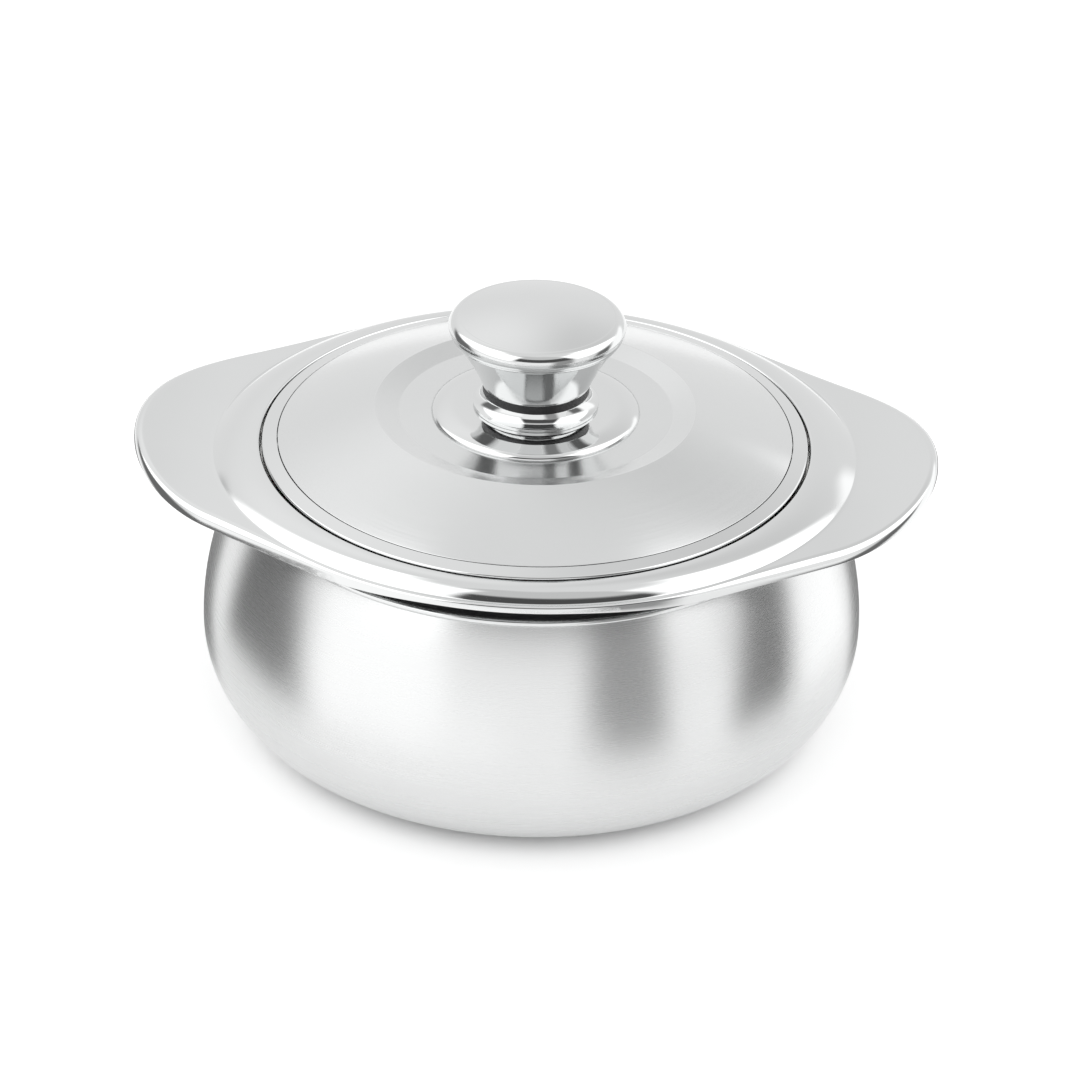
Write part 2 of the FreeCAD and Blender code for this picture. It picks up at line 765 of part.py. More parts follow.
def make_knob_pedestal():
    """Waisted foot of the knob."""
    foot = size["stem_top"] + size["stem_spread"]
    step = boss_top + size["stem_foot_height"]
    return keep(turned("knob_pedestal", [
        (screw_hole, boss_top),
        (foot, boss_top),
        (foot, step, left(size["stem_flare"])),
        (size["stem_top"], stem_top_height),
        (screw_hole, stem_top_height),
    ]), "knob_pedestal")


def make_knob_spacer():
    """Heat-insulating ring between the pedestal and the knob."""
    return keep(turned("knob_spacer", [
        (screw_hole, stem_top_height),
        (spacer_radius, stem_top_height),
        (spacer_radius, spacer_top),
        (screw_hole, spacer_top),
    ]), "knob_spacer")


def make_knob_cup():
    """Lower shell of the knob: floor, hollow cone and rounded edge up to the widest circle."""
    widest = size["knob_radius"]
    edge = widest - size["knob_edge_inset"]
    edge_height = widest_height - size["knob_edge_height"]
    foot = knob_foot
    return keep(turned("knob_cup", [
        (screw_hole, spacer_top),
        (foot, spacer_top, left(size["knob_flare"])),
        (edge, edge_height, right(size["knob_edge_round"])),
        (widest, widest_height),
        (widest - gauge, widest_height, left(size["knob_edge_round"] - gauge)),
        (edge - gauge, edge_height + gauge / 2, right(size["knob_flare"])),
        (foot - gauge, spacer_top + gauge),
        (screw_hole, spacer_top + gauge),
    ]), "knob_cup")


def make_knob_cap():
    """Upper shell of the knob: rounded edge and a flat dome that is part of a sphere about the axis."""
    widest = size["knob_radius"]
    shoulder = widest - size["cap_edge_inset"]
    inner_shoulder = shoulder - gauge / 2
    shoulder_height = widest_height + size["cap_edge_rise"]
    crown = size["cap_crown"]
    top = shoulder_height + crown
    return keep(turned("knob_cap", [
        (widest - gauge, widest_height),
        (widest, widest_height, right(size["cap_edge_round"])),
        (shoulder, shoulder_height, right(sphere_through(shoulder, crown))),
        (ZERO, top),
        (ZERO, top - gauge, left(sphere_through(inner_shoulder, crown))),
        (inner_shoulder, shoulder_height - gauge),
    ]), "knob_cap")


def make_knob_core():
    """Moulded core in the knob's cup, with a bore for the insert."""
    bore = size["insert_radius"] + size["fit_clearance"]
    outer = knob_foot - gauge - size["core_clearance"]
    top = core_foot + size["core_height"]
    return keep(turned("knob_core", [
        (bore, core_foot),
        (outer, core_foot),
        (outer, top),
        (bore, top),
    ]), "knob_core")


def make_knob_insert():
    """Threaded bush in the knob's core, closed at its top."""
    thread = size["screw_radius"] + size["fit_clearance"]
    top = core_foot + size["insert_height"]
    thread_top = core_foot + size["screw_reach"] + gap
    return keep(turned("knob_insert", [
        (thread, core_foot),
        (size["insert_radius"], core_foot),
        (size["insert_radius"], top),
        (ZERO, top),
        (ZERO, thread_top),
        (thread, thread_top),
    ]), "knob_insert")


def make_screw_washer():
    """Washer that spreads the screw's pull under the lid cover."""
    return keep(turned("screw_washer", [
        (screw_hole, cover_under - size["washer_height"]),
        (washer_radius, cover_under - size["washer_height"]),
        (washer_radius, cover_under),
        (screw_hole, cover_under),
    ]), "screw_washer")


def make_knob_screw():
    """Screw from inside the lid up into the knob's insert."""
    seat = cover_under - size["washer_height"]
    foot = seat - size["screw_head_height"]
    tip = core_foot + size["screw_reach"]
    return keep(turned("knob_screw", [
        (ZERO, foot),
        (size["screw_radius"] + size["screw_head_lap"], foot),
        (size["screw_radius"] + size["screw_head_lap"], seat),
        (size["screw_radius"], seat),
        (size["screw_radius"], tip),
        (ZERO, tip),
    ]), "knob_screw")


# ---------------------------------------------------------------- assembly

def check_model():
    """Stops the run if any object failed or any piece isn't one valid closed solid."""
    for item in doc.Objects:
        for state in item.State:
            if state in ("Invalid", "Error"):
                raise RuntimeError("%s is in state %s" % (item.Name, state))
    for item in parts:
        if item.Shape.isNull() or not item.Shape.isValid() or len(item.Shape.Solids) != 1:
            raise RuntimeError("%s has no single valid solid" % item.Label)


def main():
    """Builds every piece, checks the model and writes one file for each piece."""
    make_outer_bowl()
    make_base_plate()
    make_base_plug()
    make_body_foam()
    make_inner_bowl()
    make_handle_plate()
    make_neck_ring()
    make_lid_gasket()
    make_lid_cover()
    make_lid_pan()
    make_lid_foam()
    make_knob_base()
    make_knob_pedestal()
    make_knob_spacer()
    make_knob_cup()
    make_knob_cap()
    make_knob_core()
    make_knob_insert()
    make_screw_washer()
    make_knob_screw()
    doc.recompute()
    check_model()
    os.makedirs("parts", exist_ok=True)
    for item in parts:
        item.Shape.exportStep("parts/%s.step" % item.Label)
        box = item.Shape.BoundBox
        print("%-14s %9.0f mm3  z %6.1f to %6.1f  r %5.1f" % (
            item.Label, item.Shape.Volume, box.ZMin, box.ZMax, box.XMax))


main()
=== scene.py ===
import math

import bpy
import numpy as np
from bpy.props import FloatProperty, FloatVectorProperty, IntProperty, PointerProperty
from mathutils import Matrix, Vector


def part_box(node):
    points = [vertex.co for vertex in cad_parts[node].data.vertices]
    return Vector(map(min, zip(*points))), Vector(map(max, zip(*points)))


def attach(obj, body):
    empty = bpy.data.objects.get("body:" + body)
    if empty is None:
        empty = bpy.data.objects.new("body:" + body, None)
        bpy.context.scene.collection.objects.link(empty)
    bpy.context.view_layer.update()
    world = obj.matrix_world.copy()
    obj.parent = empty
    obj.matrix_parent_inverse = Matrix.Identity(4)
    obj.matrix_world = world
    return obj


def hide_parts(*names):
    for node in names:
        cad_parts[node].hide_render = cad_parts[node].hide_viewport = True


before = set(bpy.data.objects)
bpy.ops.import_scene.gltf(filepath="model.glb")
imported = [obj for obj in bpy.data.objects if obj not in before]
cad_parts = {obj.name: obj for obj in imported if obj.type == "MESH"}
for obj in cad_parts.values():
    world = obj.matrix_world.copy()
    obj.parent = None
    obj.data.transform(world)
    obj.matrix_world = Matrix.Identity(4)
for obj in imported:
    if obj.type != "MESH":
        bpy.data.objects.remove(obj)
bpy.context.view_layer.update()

bl_info = {
    "name": "Insulated chapati casserole",
    "version": (1, 0, 0),
    "blender": (4, 5, 0),
    "location": "3D View > Sidebar > Casserole",
    "description": "Finished surfaces, metals and studio of a double-walled serving bowl with a lift-off lid",
    "category": "Object",
}

MM = 0.001


# ---- sizes and colours

def reach(node):
    """Outer radius of a turned node, from its box in the frame."""
    return min(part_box(node)[1][:2])


def low(node):
    """Height of a node's lowest point."""
    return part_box(node)[0][2]


def high(node):
    """Height of a node's highest point."""
    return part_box(node)[1][2]


def length(label, meaning, metres):
    """A length that a user may change."""
    return FloatProperty(name=label, description=meaning, default=metres, min=0.0, precision=5,
                         subtype="DISTANCE", unit="LENGTH")


def angle_of(label, meaning, degrees):
    """An angle that a user may change."""
    return FloatProperty(name=label, description=meaning, default=math.radians(degrees), subtype="ANGLE",
                         unit="ROTATION")


def colour(label, meaning, red, green, blue):
    """A linear colour."""
    return FloatVectorProperty(name=label, description=meaning, default=(red, green, blue, 1.0), size=4,
                               min=0.0, max=1.0, subtype="COLOR")


class BowlSizes(bpy.types.PropertyGroup):
    """Sizes of the two bowls, the base and the bead ring."""
    gauge: length("Gauge", "Wall of the spun shells", 0.7 * MM)
    belly_radius: length("Belly radius", "Widest radius of the outer bowl", reach("outer_bowl"))
    belly_round: length("Belly rounding", "Radius of the lower corner", 37.7 * MM)
    shoulder_round: length("Shoulder arc", "Radius of the arc above the belly", 108.2 * MM)
    neck_radius: length("Neck radius", "Radius of the upright neck", reach("neck_ring") - 4.5 * MM)
    neck_height: length("Neck height", "Height where the neck begins", low("neck_ring"))
    neck_top: length("Neck top", "Height of the neck's lip", high("outer_bowl"))
    neck_lip: length("Neck lip", "Width of the lip turned in at the neck", 4.0 * MM)
    foot_flange: length("Foot flange", "Width of the flat ring that the bowl stands on", 9.0 * MM)
    base_dish: length("Base dish", "Height of the pressed dish in the base plate", 2.6 * MM)
    base_rim: length("Base rim", "Width of the base plate's flat rim", 16.3 * MM)
    plug_radius: length("Plug radius", "Radius of the filling hole", 6.0 * MM)
    ring_play: length("Ring play", "Gap between the neck and the bead ring", 0.3 * MM)
    # The fillet that this height shapes is black painted shade in the gap under the plate's hem.
    shade_fillet_height: length("Joint height", "How high the black joint climbs up the neck", 2.8 * MM)
    mouth_radius: length("Mouth radius", "Inner radius of the inner bowl", 95.0 * MM)
    floor_height: length("Floor height", "Height of the inner bowl's floor", low("inner_bowl") + 0.7 * MM)
    floor_round: length("Floor rounding", "Radius between the inner bowl's floor and wall", 22.0 * MM)
    edge_round: length("Edge rounding", "Rounding of the bare sheet edges", 0.22 * MM)


class PlateSizes(bpy.types.PropertyGroup):
    """Sizes of the handle plate with its collar, well and ears."""
    gauge: length("Gauge", "Wall of the plate", 0.8 * MM)
    well_radius: length("Well radius", "Radius of the well that holds the lid", reach("inner_bowl") + 0.3 * MM)
    ledge_width: length("Ledge width", "Width of the ledge under the inner bowl's flange", 4.2 * MM)
    ledge_height: length("Ledge height", "Height of the ledge's underside", high("outer_bowl"))
    collar_height: length("Collar height", "Height of the collar's top above the ledge's underside", 6.2 * MM)
    well_lip: length("Well lip", "Rounding at the top of the well", 1.0 * MM)
    collar_rise: length("Collar rise", "Height of the collar above the plate", 4.4 * MM)
    collar_side: length("Collar width at the ears", "From the well to the crease along X", 17.8 * MM)
    collar_front: length("Collar width in front", "From the well to the crease along Y", 9.4 * MM)
    crease_round: length("Crease softness", "How softly the collar runs into the plate", 0.22 * MM)
    plate_margin: length("Plate margin", "Flat plate outside the crease, front and back", 2.2 * MM)
    plate_round: length("Plate arc", "Radius of the plate's edge front and back", 131.4 * MM)
    ear_reach: length("Ear reach", "From the crease to the tip of an ear", 30.0 * MM)
    ear_tip_radius: length("Ear tip radius", "Radius of the plate's edge at an ear", 77.0 * MM)
    ear_bend: length("Ear bend start", "How far inside the crease an ear begins to bend up", 9.0 * MM)
    ear_bend_radius: length("Ear bend radius", "Radius of an ear's upward bend", 122.0 * MM)
    hem: length("Hem", "Height of the hem at the ears", 4.5 * MM)
    hem_round: length("Hem rounding", "Rounding along the hem's upper edge at the ears", 3.6 * MM)
    front_hem: length("Front hem", "Height of the hem in front and behind", 2.5 * MM)
    front_hem_round: length("Front hem rounding", "Rounding along the hem's upper edge there", 1.1 * MM)
    edge_round: length("Edge rounding", "Rounding of the bare sheet edges", 0.2 * MM)


class LidSizes(bpy.types.PropertyGroup):
    """Sizes of the lid's cover, pan and seal ring."""
    cover_gauge: length("Cover gauge", "Wall of the lid cover", 0.8 * MM)
    pan_gauge: length("Pan gauge", "Wall of the lid pan", 0.7 * MM)
    seam_radius: length("Seam radius", "Radius of the cover's edge", reach("lid_cover"))
    seam_height: length("Seam height", "Height of the cover's edge", high("lid_pan"))
    seam_gap: length("Seam gap", "Width of the groove between the cover and the rim band", 0.3 * MM)
    edge_height: length("Edge height", "Height of the foot of the cover's edge", low("lid_cover"))
    recess_radius: length("Recess radius", "Radius of the recess at its upper edge", 60.0 * MM)
    recess_height: length("Recess edge", "Height of the recess's upper edge", high("lid_cover"))
    recess_slope: length("Recess slope", "Width of the sloping step", 8.7 * MM)
    recess_depth: length("Recess depth", "Depth of the recess", 2.4 * MM)
    dome_round: length("Dome arc", "Radius of the lid's convex arc", 330.0 * MM)
    rim_radius: length("Rim radius", "Outer radius of the rim band", reach("lid_pan"))
    rim_drop: length("Rim drop", "Fall of the rim band towards its edge", 1.1 * MM)
    rim_round: length("Rim rounding", "Outer rounding of the rim band", 0.9 * MM)
    pan_radius: length("Pan radius", "Radius of the pan's wall", 93.6 * MM)
    pan_depth: length("Pan depth", "Depth of the pan below its flange", 6.5 * MM)
    pan_round: length("Pan rounding", "Rounding at the bottom of the pan", 3.0 * MM)
    seal_width: length("Seal width", "Radial width of the seal ring", 5.2 * MM)
    screw_hole: length("Screw hole", "Radius of the hole for the knob's screw", 2.9 * MM)
    edge_round: length("Edge rounding", "Rounding of the cover's sheet edges", 0.2 * MM)


class KnobSizes(bpy.types.PropertyGroup):
    """Sizes of the knob and what it stands on."""
    gauge: length("Gauge", "Wall of the knob's shells", 0.7 * MM)
    disc_radius: length("Disc radius", "Radius of the disc under the knob", reach("knob_base"))
    disc_round: length("Disc rounding", "Width of the disc's rounded rim", 9.0 * MM)
    pedestal_top: length("Pedestal top", "Radius of the pedestal at its top", 19.4 * MM)
    pedestal_foot: length("Pedestal foot", "Height of the pedestal's straight foot", 1.2 * MM)
    pedestal_flare: length("Pedestal flare", "Radius of the pedestal's hollow curve", 5.6 * MM)
    foot_radius: length("Knob foot", "Radius of the cup's foot", reach("knob_spacer") + 0.3 * MM)
    edge_inset: length("Edge inset", "From the widest circle in to where the cone begins", 1.6 * MM)
    edge_height: length("Edge height", "From the widest circle down to where the cone begins", 4.6 * MM)
    edge_round: length("Edge rounding", "Radius of the knob's rounded edge", 7.4 * MM)
    flare: length("Cone flare", "Radius of the cone's hollow curve", 74.0 * MM)
    cap_inset: length("Cap inset", "From the widest circle in to where the dome begins", 4.3 * MM)
    cap_rise: length("Cap rise", "From the widest circle up to where the dome begins", 3.3 * MM)
    cap_round: length("Cap rounding", "Radius of the cap's rounded edge", 4.6 * MM)


class Finishes(bpy.types.PropertyGroup):
    """Colours of the metals and other materials."""
    polished: colour("Polished steel", "Mirror-polished stainless steel", 0.66, 0.667, 0.667)
    satin: colour("Satin steel", "Turned satin stainless steel of the outer bowl", 0.695, 0.70, 0.70)
    liner: colour("Liner steel", "Brushed stainless steel of the inner bowl and lid pan", 0.62, 0.615, 0.60)
    base: colour("Base steel", "Mill-finished steel of the base plate", 0.52, 0.52, 0.51)
    # The spacer's black also colours the fillet of painted shade in the neck.
    spacer: colour("Spacer plastic", "Black heat-resistant plastic", 0.012, 0.012, 0.013)
    core: colour("Core plastic", "Dark grey plastic inside the knob", 0.05, 0.05, 0.052)
    plug: colour("Plug plastic", "Grey plastic plug in the base", 0.12, 0.12, 0.125)
    seal: colour("Seal silicone", "Milky silicone", 0.62, 0.62, 0.60)
    foam: colour("Foam", "Rigid insulation foam", 0.72, 0.60, 0.36)
    brass: colour("Brass", "Threaded insert", 0.66, 0.47, 0.19)
    zinc: colour("Zinc-plated steel", "Screw and washer", 0.55, 0.57, 0.60)
    floor: colour("Floor", "Pale floor", 0.93, 0.93, 0.93)


class StudioSettings(bpy.types.PropertyGroup):
    """Camera and light of the studio."""
    aim_height: length("Aim height", "Height of the point that the camera looks at", 114.0 * MM)
    distance: length("Distance", "From the camera to that point", 1.5)
    elevation: angle_of("Elevation", "Camera's angle above the horizon", 29.2)
    turn: angle_of("Turn", "Camera's turn towards the right ear", 4.6)
    roll: angle_of("Roll", "Camera's roll", 1.2)
    lens: FloatProperty(name="Lens", description="Focal length", default=133.33, subtype="DISTANCE_CAMERA")
    shift: FloatVectorProperty(name="Shift", description="Shift of the picture", size=2,
                               default=(0.0045, -0.0985))
    floor_radius: length("Floor radius", "Radius of the round floor", 6.0)
    card_step: length("Card step", "How much farther away each card stands than the one before", 20 * MM)
    segments: IntProperty(name="Segments", description="Steps round a turned piece", default=256, min=32)


# ---- sections

ARC_STEPS = 40
CORNER_STEPS = 6
CORNER_SHARE = 0.45  # the largest share of a straight run that a rounding takes up
TINY = 1e-9


def arc_points(start, end, radius):
    """Points of an arc between two corners, both left out: centre plus radius times the cosine and sine of an
    evenly growing angle. A positive radius bulges to the right of the way."""
    start, end = np.array(start), np.array(end)
    chord = end - start
    span = math.hypot(*chord)
    across = math.sqrt(max(radius * radius - span * span / 4, 0.0))
    side = 1 if radius > 0 else -1
    centre = (start + end) / 2 + side * across / span * np.array([-chord[1], chord[0]])
    first = math.atan2(*(start - centre)[::-1])
    last = math.atan2(*(end - centre)[::-1])
    sweep = (last - first + math.pi) % (2 * math.pi) - math.pi
    angles = first + sweep * np.arange(1, ARC_STEPS) / ARC_STEPS
    return centre + abs(radius) * np.stack([np.cos(angles), np.sin(angles)], axis=1)


def section(corners, closed=True):
    """Half section of a turned piece, as radius and height: straight runs and arcs from corner to corner.

    A corner is (radius, height, rounding, arc to the next corner); the last two may be left out. A rounding is
    the circle that touches both runs: it begins and ends its radius times the tangent of half the turn from the
    corner, and its points follow from the two unit directions by turning evenly from one to the other.
    """
    rows = []
    for index, corner in enumerate(corners):
        corner = tuple(corner) + (0.0,) * (4 - len(corner))
        rows.append(corner[:3])
        if corner[3]:
            following = corners[(index + 1) % len(corners)]
            inner = arc_points(corner[:2], following[:2], corner[3])
            rows.extend((*place, 0.0) for place in inner)
    rows = np.array(rows)
    places, rounding = rows[:, :2], rows[:, 2]
    before, after = np.roll(places, 1, axis=0) - places, np.roll(places, -1, axis=0) - places
    run_before, run_after = np.linalg.norm(before, axis=1), np.linalg.norm(after, axis=1)
    before, after = before / run_before[:, None], after / run_after[:, None]
    if not closed:
        rounding[[0, -1]] = 0.0
    turn = math.pi - np.arccos(np.clip((before * after).sum(axis=1), -1.0, 1.0))
    half = np.maximum(turn / 2, TINY)
    tangent = np.minimum(rounding * np.tan(half), CORNER_SHARE * np.minimum(run_before, run_after))
    radius = tangent / np.tan(half)
    bisector = before + after
    bisector = bisector / np.maximum(np.linalg.norm(bisector, axis=1), TINY)[:, None]
    centre = places + bisector * (radius / np.cos(half))[:, None]
    side = np.sign(after[:, 0] * before[:, 1] - after[:, 1] * before[:, 0])
    swing = np.linspace(-1.0, 1.0, CORNER_STEPS + 1)[None, :] * (half * side)[:, None]
    out_x = -bisector[:, 0:1] * np.cos(swing) + bisector[:, 1:2] * np.sin(swing)
    out_y = -bisector[:, 0:1] * np.sin(swing) - bisector[:, 1:2] * np.cos(swing)
    rounded = centre[:, None, :] + radius[:, None, None] * np.stack([out_x, out_y], axis=2)
    keep = rounding > 0
    everything = np.where(keep[:, None, None], rounded, places[:, None, :])
    chosen = np.ones(everything.shape[:2], bool)
    chosen[~keep, 1:] = False
    return everything[chosen]


def quads_between(rows, columns, closed):
    """Faces of a grid of vertices whose columns close round, and whose rows close as well where asked."""
    row, column = np.meshgrid(np.arange(rows if closed else rows - 1), np.arange(columns), indexing="ij")
    next_row, next_column = (row + 1) % rows, (column + 1) % columns
    return np.stack([row * columns + column, row * columns + next_column,
                     next_row * columns + next_column, next_row * columns + column], axis=2).reshape(-1, 4)


def turned_surface(profile, segments):
    """Surface of revolution: x = r cos a, y = r sin a, z = h, for each point (r, h) of the section and each angle a.

    A section that begins and ends on the axis gets one vertex at each pole and a fan of triangles; any other
    section is a closed loop. The normal is the way across the section's own direction, taken between the two
    neighbouring points, and it turns with a.
    """
    poles = profile[0, 0] < TINY and profile[-1, 0] < TINY
    if poles:
        along = np.gradient(profile, axis=0)
        along[0] = (1.0, 0.0) if profile[1, 0] > 0 else along[0]
        along[-1] = (-1.0, 0.0)
    else:
        along = np.roll(profile, -1, axis=0) - np.roll(profile, 1, axis=0)
    along = along / np.linalg.norm(along, axis=1)[:, None]
    normal = np.stack([along[:, 1], -along[:, 0]], axis=1)
    steps = np.diff(profile, axis=0)
    run = np.concatenate([[0.0], np.cumsum(np.linalg.norm(steps, axis=1))])
    angle = np.arange(segments) * (2 * math.pi / segments)
    ring = np.stack([np.cos(angle), np.sin(angle)], axis=1)
    body = slice(1, -1) if poles else slice(None)

    def spin(points):
        """The points carried round the axis."""
        flat = points[body, 0][:, None, None] * ring[None, :, :]
        up = np.broadcast_to(points[body, 1][:, None, None], flat.shape[:2] + (1,))
        return np.concatenate([flat, up], axis=2).reshape(-1, 3)

    places, normals = spin(profile), spin(normal)
    runs = np.repeat(run[body], segments)
    rows = len(places) // segments
    faces = [quads_between(rows, segments, not poles)]
    if poles:
        first, last = len(places), len(places) + 1
        ends = np.array([[0.0, 0.0, profile[0, 1]], [0.0, 0.0, profile[-1, 1]]])
        places = np.concatenate([places, ends])
        normals = np.concatenate([normals, [[0.0, 0.0, -1.0], [0.0, 0.0, 1.0]]])
        if profile[0, 1] > profile[-1, 1]:
            normals[first:] *= -1
        runs = np.concatenate([runs, run[[0, -1]]])
        column = np.arange(segments)
        following = (column + 1) % segments
        top = (rows - 1) * segments
        faces.append(np.stack([np.full(segments, first), following, column], axis=1))
        faces.append(np.stack([np.full(segments, last), top + column, top + following], axis=1))
    return places, faces, normals, runs


def new_piece(name, surface, finish, node, body):
    """Puts a surface into a mesh, with its normals and its length along the section, and hands it to the frame."""
    places, faces, normals, runs = surface
    mesh = bpy.data.meshes.new(name)
    corners = np.concatenate([group.ravel() for group in faces]).astype(np.int32)
    counts = np.concatenate([np.full(len(group), group.shape[1]) for group in faces])
    mesh.vertices.add(len(places))
    mesh.vertices.foreach_set("co", places.astype(np.float32).ravel())
    mesh.loops.add(len(corners))
    mesh.loops.foreach_set("vertex_index", corners)
    mesh.polygons.add(len(counts))
    mesh.polygons.foreach_set("loop_start", (np.cumsum(counts) - counts).astype(np.int32))
    mesh.polygons.foreach_set("use_smooth", np.ones(len(counts), bool))
    mesh.update(calc_edges=True)
    if mesh.validate():
        raise RuntimeError("%s has faulty faces" % name)
    mesh.normals_split_custom_set_from_vertices(normals.astype(np.float32))
    along = mesh.attributes.new("run", "FLOAT", "POINT")
    along.data.foreach_set("value", runs.astype(np.float32))
    mesh.materials.append(finish)
    piece = bpy.data.objects.new(name, mesh)
    bpy.context.collection.objects.link(piece)
    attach(piece, body)
    if node:
        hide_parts(node)


# ---- materials

NOISE_RANGE = (0.3, 0.7)  # where most values of a noise lie
CLOUDS = 22.0  # per metre
WAVES = 34.0  # per metre
MOTTLE = 12  # grains to one patch of mottling


class Nodes:
    """Short hand for wiring one node material or world."""

    def __init__(self, owner):
        owner.use_nodes = True
        self.tree = owner.node_tree
        self.tree.nodes.clear()

    def add(self, kind, inputs=None, **settings):
        """A node with its properties and inputs set; an input may be a value or another node's output."""
        node = self.tree.nodes.new(kind)
        for name, value in settings.items():
            setattr(node, name, value)
        for name, value in (inputs or {}).items():
            if isinstance(value, bpy.types.NodeSocket):
                self.tree.links.new(value, node.inputs[name])
            else:
                node.inputs[name].default_value = value
        return node

    def join(self, operation, first, second):
        """One number from two."""
        return self.add("ShaderNodeMath", {0: first, 1: second}, operation=operation).outputs[0]

    def noise(self, place, scale, detail=2.0, roughness=0.5):
        """Noise over a place."""
        return self.add("ShaderNodeTexNoise", {
            "Vector": place, "Scale": scale, "Detail": detail, "Roughness": roughness}).outputs["Fac"]

    def span(self, value, before, after, **settings):
        """The value carried from one range to another."""
        ends = dict(zip(("From Min", "From Max", "To Min", "To Max"), (*before, *after)))
        return self.add("ShaderNodeMapRange", {"Value": value, **ends}, **settings).outputs["Result"]

    def vary(self, noise, middle, share):
        """A number that noise moves up and down by this share."""
        return self.span(noise, NOISE_RANGE, (middle * (1 - share), middle * (1 + share)))

    def tint(self, noise, base, darker, lighter):
        """A colour that noise makes darker and lighter. Inputs 6 and 7 and output 2 are the node's colours."""
        return self.add("ShaderNodeMix", {"Factor": noise, 6: shade(base, darker), 7: shade(base, lighter)},
                        data_type="RGBA").outputs[2]

    def bump(self, height, distance, strength=1.0, **normal):
        """A bump of this distance in metres, over another normal where one is given."""
        return self.add("ShaderNodeBump", {
            "Height": height, "Distance": distance, "Strength": strength, **normal}).outputs["Normal"]


def shade(base, factor):
    """A colour made darker or lighter."""
    return tuple(min(channel * factor, 1.0) for channel in base[:3]) + (1.0,)


def new_material(name):
    """An empty node material, its nodes and its Object coordinates."""
    material = bpy.data.materials.new(name)
    nodes = Nodes(material)
    return material, nodes, nodes.add("ShaderNodeTexCoord").outputs["Object"]


def principled(nodes, looks):
    """The material's one shader, joined to its output."""
    shader = nodes.add("ShaderNodeBsdfPrincipled", looks)
    nodes.add("ShaderNodeOutputMaterial", {"Surface": shader.outputs["BSDF"]})


def turning_lines(nodes, place, per_metre, wander):
    """Noise that changes fast along the section and slowly round it, as a turning tool leaves it."""
    along = nodes.add("ShaderNodeAttribute", attribute_name="run").outputs["Fac"]
    split = nodes.add("ShaderNodeSeparateXYZ", {"Vector": place}).outputs
    scaled = nodes.add("ShaderNodeCombineXYZ", {
        "X": nodes.join("MULTIPLY", split["X"], wander), "Y": nodes.join("MULTIPLY", split["Y"], wander),
        "Z": nodes.join("MULTIPLY", along, per_metre)})
    return nodes.noise(scaled.outputs["Vector"], 1.0, detail=3.0, roughness=0.6)


def metal(name, base, roughness, lines, wander, relief, waviness, anisotropy=0.0, spread=0.14):
    """Steel with turning lines in its roughness and relief, faint clouding in its colour and soft waviness."""
    material, nodes, place = new_material(name)
    line = turning_lines(nodes, place, lines, wander)
    wave = nodes.noise(place, WAVES, detail=1.0)
    looks = {
        "Metallic": 1.0, "Anisotropic": anisotropy, "Anisotropic Rotation": 0.25,
        "Base Color": nodes.tint(nodes.noise(place, CLOUDS, detail=3.0), base, darker=0.975, lighter=1.02),
        "Roughness": nodes.vary(line, roughness, spread),
        "Normal": nodes.bump(wave, waviness, Normal=nodes.bump(line, relief)),
    }
    if anisotropy:
        looks["Tangent"] = nodes.add("ShaderNodeTangent", direction_type="RADIAL", axis="Z").outputs["Tangent"]
    principled(nodes, looks)
    return material


def moulded(name, base, roughness, grain, relief, sheen=0.0, subsurface=0.0):
    """Plastic or silicone: grain in its relief and roughness, faint mottling in its colour."""
    material, nodes, place = new_material(name)
    pits = nodes.noise(place, grain)
    principled(nodes, {
        "Sheen Weight": sheen, "Subsurface Weight": subsurface, "Subsurface Scale": 2 * MM,
        "Base Color": nodes.tint(nodes.noise(place, grain / MOTTLE, detail=4.0), base, darker=0.82, lighter=1.18),
        "Roughness": nodes.vary(pits, roughness, 0.15),
        "Normal": nodes.bump(pits, relief),
    })
    return material


def foam(name, base, cells, patches):
    """Rigid foam: round cells with thin walls, cut open at the surface, and a skin of uneven colour."""
    material, nodes, place = new_material(name)
    cell = nodes.add("ShaderNodeTexVoronoi", {"Vector": place, "Scale": cells, "Detail": 2.0})
    principled(nodes, {
        "Roughness": 0.9,
        "Base Color": nodes.tint(nodes.noise(place, patches, detail=4.0), base, darker=0.85, lighter=1.15),
        "Normal": nodes.bump(cell.outputs["Distance"], 0.4 * MM, strength=0.8),
    })
    return material


# How each finish is made. After the kind and the colour come, for a metal: roughness, turning lines per metre, how
# much they wander round the piece, their relief, waviness, anisotropy and the spread of the roughness; for a moulded
# one: roughness, grain per metre, relief, sheen and subsurface; for foam: cells and patches per metre.
FINISH_TABLE = {
    "polished_steel": (metal, "polished", 0.055, 2600.0, 14.0, 0.0004 * MM, 0.004 * MM),
    "spun_steel": (metal, "polished", 0.15, 2600.0, 14.0, 0.0006 * MM, 0.004 * MM, 0.7),
    "satin_steel": (metal, "satin", 0.27, 3400.0, 6.0, 0.0001 * MM, 0.002 * MM, 0.8, 0.03),
    "liner_steel": (metal, "liner", 0.30, 2400.0, 18.0, 0.003 * MM, 0.01 * MM, 0.7),
    "base_steel": (metal, "base", 0.42, 900.0, 60.0, 0.004 * MM, 0.02 * MM),
    "zinc_steel": (metal, "zinc", 0.35, 1200.0, 900.0, 0.006 * MM, 0.01 * MM),
    "insert_brass": (metal, "brass", 0.28, 1500.0, 500.0, 0.004 * MM, 0.01 * MM),
    "black_plastic": (moulded, "spacer", 0.42, 2600.0, 0.02 * MM),
    "core_plastic": (moulded, "core", 0.5, 1800.0, 0.03 * MM),
    "plug_plastic": (moulded, "plug", 0.5, 1800.0, 0.02 * MM),
    "seal_silicone": (moulded, "seal", 0.45, 900.0, 0.02 * MM, 0.15, 0.2),
    "insulation_foam": (foam, "foam", 1400.0, 30.0),
}
FINISHES = {}


